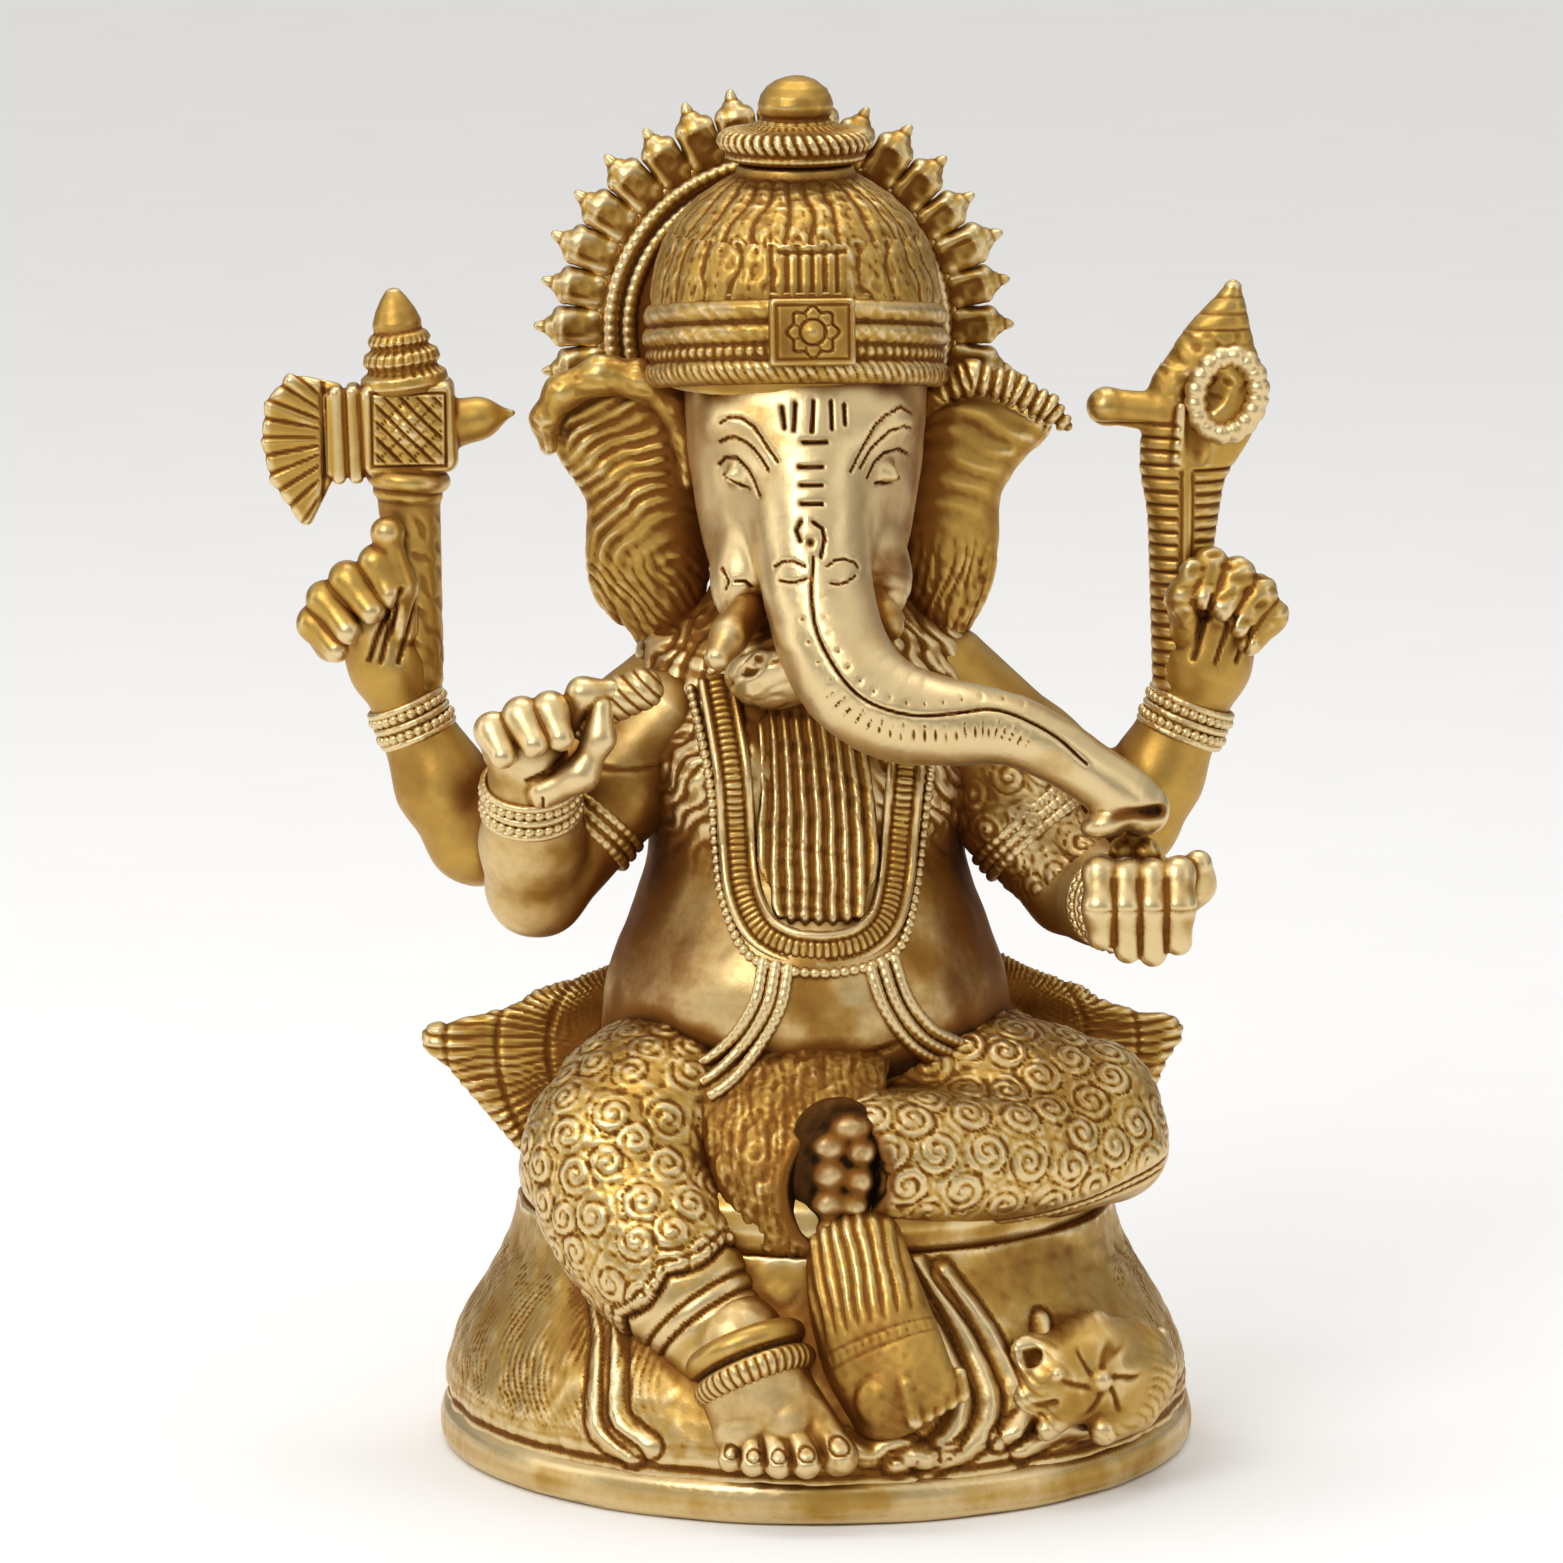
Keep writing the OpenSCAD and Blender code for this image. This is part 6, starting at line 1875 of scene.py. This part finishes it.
shawl_line = drape(body_shape, [(-0.2, z) for z in np.linspace(76, 56.4, 9)], 0.0)
shawl = Sweep(shawl_line, [(5.2, 1.3), (5.8, 1.5), (6.1, 1.5), (6.2, 1.5), (6.1, 1.5), (6.0, 1.4), (5.8, 1.3), (5.2, 1.2), (4.2, 1.0)],
              up=(0, 1, 0), steps=20)


def chase_shawl(p, n):
    x, z = p[:, 0], p[:, 2]
    narrowing = 1 + 0.012 * np.clip(z - 62, 0, 20)
    pleat = ((x + 0.3) * narrowing + 0.03 * np.clip(z - 66, 0, 12) ** 1.5 + 0.07 * speckle(p, 6, 141)) / 1.42
    wave = np.cos(2 * math.pi * pleat)
    dots = np.clip(speckle(p, 1.8, 142), 0, 1) * 0.8
    ink = np.clip(-wave - 0.2, 0, 1)
    return 0.26 * wave - 0.14 * dots, np.clip(0.62 * ink + 0.35 * dots, 0, 1)


keep(cast("chest_shawl", shawl, (-9, -23, 53), (9, -6, 79), 0.24, chase_shawl), "cloth_relief_brass", "chest_shawl")

cord_paths = []
for centre, normal_sign in (([(-4.6, 52.4), (-5.4, 48.6), (-7.3, 45.0), (-9.6, 42.4), (-12.4, 40.4)], -1),
                            ([(5.8, 52.2), (7.2, 48.2), (9.6, 44.7), (12.6, 42.4), (15.6, 40.6)], 1)):
    flat = smooth_line(centre, 24)
    side = np.gradient(flat, axis=0)
    side = np.stack([-side[:, 1], side[:, 0]], 1) / np.linalg.norm(side, axis=1)[:, None]
    for offset in (-1.25, 0.0, 1.25):
        cord_paths.append(smooth_line(drape(body_shape, flat + offset * side, 0.25)[::2], 40))
keep(grow("belly_cords", path_object("cord_paths", cord_paths), cords, METALS["chased_brass"],
          Radius=0.00066, Notch_pitch=0.0009, Notch_depth=0.12), "chased_brass", "belly_cords")

# %% Rings of the arms and ankle
def ring_line(c, axis, r, squash=1.0, count=40):
    """A closed circle of points about c, square to an axis."""
    axis = unit(axis)
    u = unit(np.cross(axis, (0.3, 1, 0.2)))
    v = np.cross(axis, u)
    return [c + r * (math.cos(t) * u + squash * math.sin(t) * v) for t in np.linspace(0, 2 * math.pi, count + 1)[:-1]]


WRISTS = [
    (at("bracelets", -28.5, -12.0, 67.6), (0, -0.45, 1), 4.75),
    (at("bracelets", -40.4, 3.4, 73.0), (-0.42, 0.0, 1), 3.75),
    (at("bracelets", 29.4, -12.6, 56.7), (0.4, -0.9, 0.0), 4.5),
    (at("bracelets", 37.3, 3.6, 72.6), (0.4, 0.0, 1), 4.25),
]
lines, bands = [], []
for c, axis, r in WRISTS:
    a = unit(axis)
    for off in (-0.95, 0.95):
        lines.append(ring_line(c + off * a, axis, r))
    for off in (-1.7, 0.0, 1.7):
        bands.append(ring_line(c + off * a, axis, r - 0.05))
keep(grow("bracelets", path_object("bracelet_paths", lines, True), beads, METALS["chased_brass"],
          Bead_radius=0.00056, Spacing=0.00098, Flatten=1.0), "chased_brass", "bracelets")
keep(grow("bracelet_wires", path_object("wire_paths", bands, True), cords, METALS["chased_brass"],
          Radius=0.00042, Notch_pitch=0.0008, Notch_depth=0.1), "chased_brass")

arm_rings = []
for a, b, r in ((at("armlets", -16, -1, 71.5), at("armlets", -28, -6, 57), 5.25), (at("armlets", 14.5, -1, 69.5), at("armlets", 26, -5, 56.5), 5.6)):
    for share in (0.50, 0.56, 0.62):
        arm_rings.append(ring_line(a + share * (b - a), b - a, r))
keep(grow("armlets", path_object("armlet_paths", arm_rings, True), cords, METALS["chased_brass"],
          Radius=0.0006, Notch_pitch=0.001, Notch_depth=0.2), "chased_brass", "armlets")

ankle_axis = unit((0.34, -0.42, -0.84))
cuff = at("right_anklet", -7.0, -32.6, 13.8)
cuff_shape = merge(0.4, hoop(cuff, ankle_axis, 4.9, 1.5), hoop(cuff - 2.7 * ankle_axis, ankle_axis, 4.9, 1.35))


def chase_cuff(p, n):
    q = p - cuff
    along = q @ ankle_axis
    side = unit(np.cross(ankle_axis, (0, 1, 0)))
    turn = np.arctan2(q @ side, q @ np.cross(ankle_axis, side)) * 6
    hatch = rows(turn, 0.95, 0.17) * ease(along, -0.9, -0.6)
    line = groove(along + 1.35, 0.3)
    return -0.2 * hatch - 0.2 * line, np.maximum(0.55 * hatch, 0.85 * line)


keep(cast("right_anklet", cuff_shape, cuff - 8.6, cuff + 8.6, 0.24, chase_cuff), "chased_brass", "right_anklet")

noose_line = arc_points(at("noose", 40.9, 0.3, 105.6), 3.1, 0, 360, 41, (1, 0, 0), (0.12, 0, 1.25))[:-1]
keep(grow("noose", path_object("noose_path", [noose_line], True), cords, METALS["chased_brass"],
          Radius=0.00125, Notch_pitch=0.0014, Notch_depth=0.25), "chased_brass", "noose")

# %% [markdown]
# ## Age and painted shade
# Hands polish what stands out and patina stays where nothing rubs. Two measures find the hollows: how
# far a point sinks below the average of its neighbours, and how much metal stands in front of it. The
# first stands for the patina in the hollows and also paints shade into them; the second paints the
# shade that neighbouring parts cast. Both go into one attribute, which the metals read.

# %% Where patina and painted shade gather
def blur(grid, w):
    """Three box averages, 2w + 1 cells wide, along each axis."""
    for _ in range(3):
        for axis in range(3):
            c = np.cumsum(grid, axis=axis, dtype=np.float64)
            grid = np.clip((np.roll(c, -w, axis) - np.roll(c, w + 1, axis)) / (2 * w + 1), 0, 1)
    return grid


def crowding_grid(step):
    """A blurred map of how full of metal each place is."""
    low = np.array(cad_box[0]) * 1000 - 24
    high = np.array(cad_box[1]) * 1000 + 24
    shape = np.ceil((high - low) / step).astype(int)
    full = np.zeros(shape, bool)
    for f, a, b in CAST:
        i0 = np.clip(((a - low) / step).astype(int), 0, shape)
        i1 = np.clip(((b - low) / step).astype(int) + 1, 0, shape)
        axes = [low[i] + (np.arange(i0[i], i1[i]) + 0.5) * step for i in range(3)]
        pts = np.stack(np.meshgrid(*axes, indexing="ij"), -1).reshape(-1, 3)
        hit = (in_lots(f, pts) < 0).reshape(*(i1 - i0))
        full[i0[0]:i1[0], i0[1]:i1[1], i0[2]:i1[2]] |= hit
    return low, blur(full.astype(np.float32), 2)


def read_grid(low, grid, step, p):
    q = (p - low) / step - 0.5
    i = np.clip(np.floor(q).astype(int), 0, np.array(grid.shape) - 2)
    f = np.clip(q - i, 0, 1)
    total = np.zeros(len(p))
    for dx in (0, 1):
        for dy in (0, 1):
            for dz in (0, 1):
                w = np.abs(1 - dx - f[:, 0]) * np.abs(1 - dy - f[:, 1]) * np.abs(1 - dz - f[:, 2])
                total += w * grid[i[:, 0] + dx, i[:, 1] + dy, i[:, 2] + dz]
    return total


def neighbours_mean(values, edges, count, rounds):
    degree = np.bincount(edges.ravel(), minlength=count).astype(float)
    degree = np.maximum(degree, 1)
    for _ in range(rounds):
        columns = []
        for k in range(values.shape[1]):
            v = values[:, k]
            s = np.bincount(edges[:, 0], v[edges[:, 1]], count) + np.bincount(edges[:, 1], v[edges[:, 0]], count)
            columns.append(s / degree)
        values = 0.5 * values + 0.5 * np.stack(columns, 1)
    return values


def age_and_shade(piece, bias, low, grid, wide_grid, step):
    mesh = piece.data
    count = len(mesh.vertices)
    p = np.empty(count * 3, np.float32)
    mesh.vertices.foreach_get("co", p)
    p = p.reshape(-1, 3).astype(float) * 1000
    n = np.empty(count * 3, np.float32)
    mesh.vertex_normals.foreach_get("vector", n)
    n = n.reshape(-1, 3).astype(float)
    edges = np.empty(len(mesh.edges) * 2, np.int32)
    mesh.edges.foreach_get("vertices", edges)
    edges = edges.reshape(-1, 2)
    # Sinking below the neighbours stands for patina in the hollows and also paints shade there; metal standing in front
    # paints the shade that neighbouring parts cast.
    near = ((neighbours_mean(p, edges, count, 5) - p) * n).sum(1)
    wide = ((neighbours_mean(p, edges, count, 24) - p) * n).sum(1)
    crowd = read_grid(low, grid, step, p + 2.4 * n)
    covered = read_grid(low, wide_grid, step, p + 7 * n)
    hollow = bias + 0.75 * ease(covered, 0.12, 0.48) + 0.9 * ease(near, 0.0, 0.10) + 0.8 * ease(wide, 0.0, 0.30) + 1.0 * ease(crowd, 0.16, 0.62)
    hollow -= 0.5 * ease(-wide, 0.0, 0.25) + 0.3 * ease(-near, 0, 0.08)
    if "hollow" not in mesh.attributes:
        mesh.attributes.new("hollow", "FLOAT", "POINT")
    mesh.attributes["hollow"].data.foreach_set("value", np.clip(hollow, -0.4, 1.5).astype(np.float32))
    if "ink" not in mesh.attributes:
        mesh.attributes.new("ink", "FLOAT", "POINT")


# How little each piece is rubbed, from 0 for the parts that every hand reaches.
UNRUBBED = {"head_and_trunk": 0.0, "pedestal": 0.0, "seat": 0.0, "right_foot": 0.05, "mouse": 0.0, "right_leg": 0.1, "left_leg": 0.1,
            "torso": 0.16, "crown_dome": 0.48, "halo_petals": 0.65, "crown_band": 0.4, "foot_ring": 0.4,
            "right_ear": 0.0, "left_ear": 0.05, "sash_end": 0.0, "sash_fan_right": 0.1, "sash_fan_left": 0.2, "left_foot": 0.25}
STEP = 0.8
grid_low, crowding = crowding_grid(STEP)
# A wider blur of the same map, for painted shade cast from farther away, such as by the arms over the torso.
shelter = blur(crowding, 6)
for piece, slot, nodes in PIECES:
    age_and_shade(piece, UNRUBBED.get(piece.name, 0.42), grid_low, crowding, shelter, STEP)
print("aged", len(PIECES), "pieces, crowding grid", crowding.shape)

# %% [markdown]
# ## Handing the pieces to the frame
# Every piece rides on the one body, hides the CAD nodes it stands for, and takes the metal made for its slot.

# %% Frame calls
for piece, slot, nodes in PIECES:
    if not piece.data.materials:
        piece.data.materials.append(METALS[slot])
    piece.data.shade_smooth()
    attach(piece, root)
    if nodes:
        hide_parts(*nodes)
faces = sum(len(piece.data.polygons) for piece, _, _ in PIECES)
print(len(PIECES), "pieces,", faces, "faces")

# %% [markdown]
# ## Setting
# A pale table, soft boxes on both sides, and a long lens a little above.

# %% Floor, lights and camera
def floor():
    """A wide pale table top."""
    mesh = bpy.data.meshes.new("floor")
    mesh.from_pydata([(-40, -40, 0), (40, -40, 0), (40, 40, 0), (-40, 40, 0)], [], [(0, 1, 2, 3)])
    obj = bpy.data.objects.new("floor", mesh)
    scene.collection.objects.link(obj)
    paper = bpy.data.materials.new("pale_paper")
    paper.use_nodes = True
    nodes, link = paper.node_tree.nodes, paper.node_tree.links.new
    place = nodes.new("ShaderNodeTexCoord")
    tooth = nodes.new("ShaderNodeTexNoise")
    tooth.inputs["Scale"].default_value = 40
    tone = nodes.new("ShaderNodeMapRange")
    tone.inputs["To Min"].default_value = 0.91
    tone.inputs["To Max"].default_value = 0.94
    link(place.outputs["Object"], tooth.inputs["Vector"])
    link(tooth.outputs["Fac"], tone.inputs["Value"])
    link(tone.outputs["Result"], nodes["Principled BSDF"].inputs["Base Color"])
    nodes["Principled BSDF"].inputs["Roughness"].default_value = 0.8
    obj.data.materials.append(paper)
    return obj


floor()


def soft_box(name, place, target, size, power, colour=(1, 1, 1)):
    light = bpy.data.lights.new(name, "AREA")
    light.shape = "RECTANGLE"
    light.size, light.size_y = size
    light.energy = power
    light.color = colour
    obj = bpy.data.objects.new(name, light)
    obj.location = place
    obj.rotation_euler = (Vector(target) - Vector(place)).to_track_quat("-Z", "Y").to_euler()
    scene.collection.objects.link(obj)
    return obj


MIDDLE = (0, 0, 0.07)
soft_box("key", (-0.40, -0.60, 0.60), MIDDLE, (0.40, 0.40), 2.6)
soft_box("fill", (0.65, -0.40, 0.25), MIDDLE, (0.25, 0.6), 0.5)
soft_box("left_strip", (-0.7, -0.05, 0.25), MIDDLE, (0.2, 0.6), 0.7)
soft_box("top", (0.0, 0.10, 0.75), MIDDLE, (0.5, 0.3), 1.2)

# The room is bright overhead and dim at eye level, so upright metal has something dark to mirror.
world = bpy.data.worlds.new("studio")
world.use_nodes = True
nodes, link = world.node_tree.nodes, world.node_tree.links.new
direction = nodes.new("ShaderNodeTexCoord")
split = nodes.new("ShaderNodeSeparateXYZ")
rise = nodes.new("ShaderNodeMapRange")
for i, value in enumerate((0.0, 0.0, 0.9, 0.15, 1.0)):
    rise.inputs[i].default_value = value
link(direction.outputs["Generated"], split.inputs["Vector"])
link(split.outputs["Z"], rise.inputs["Value"])
link(rise.outputs["Result"], nodes["Background"].inputs["Strength"])
nodes["Background"].inputs["Color"].default_value = (1.0, 0.985, 0.96, 1)
scene.world = world

camera = bpy.data.objects.new("camera", bpy.data.cameras.new("camera"))
camera.location = (-0.02990, -0.85626, 0.22107)
camera.rotation_euler = (Vector((0, 0, 0.07)) - camera.location).to_track_quat("-Z", "Y").to_euler()
camera.data.sensor_width = 36
camera.data.lens = 200.4
camera.data.shift_x = -0.02207
camera.data.shift_y = -0.02008
camera.data.clip_end = 20
scene.collection.objects.link(camera)
scene.camera = camera
scene.view_settings.view_transform = "Standard"
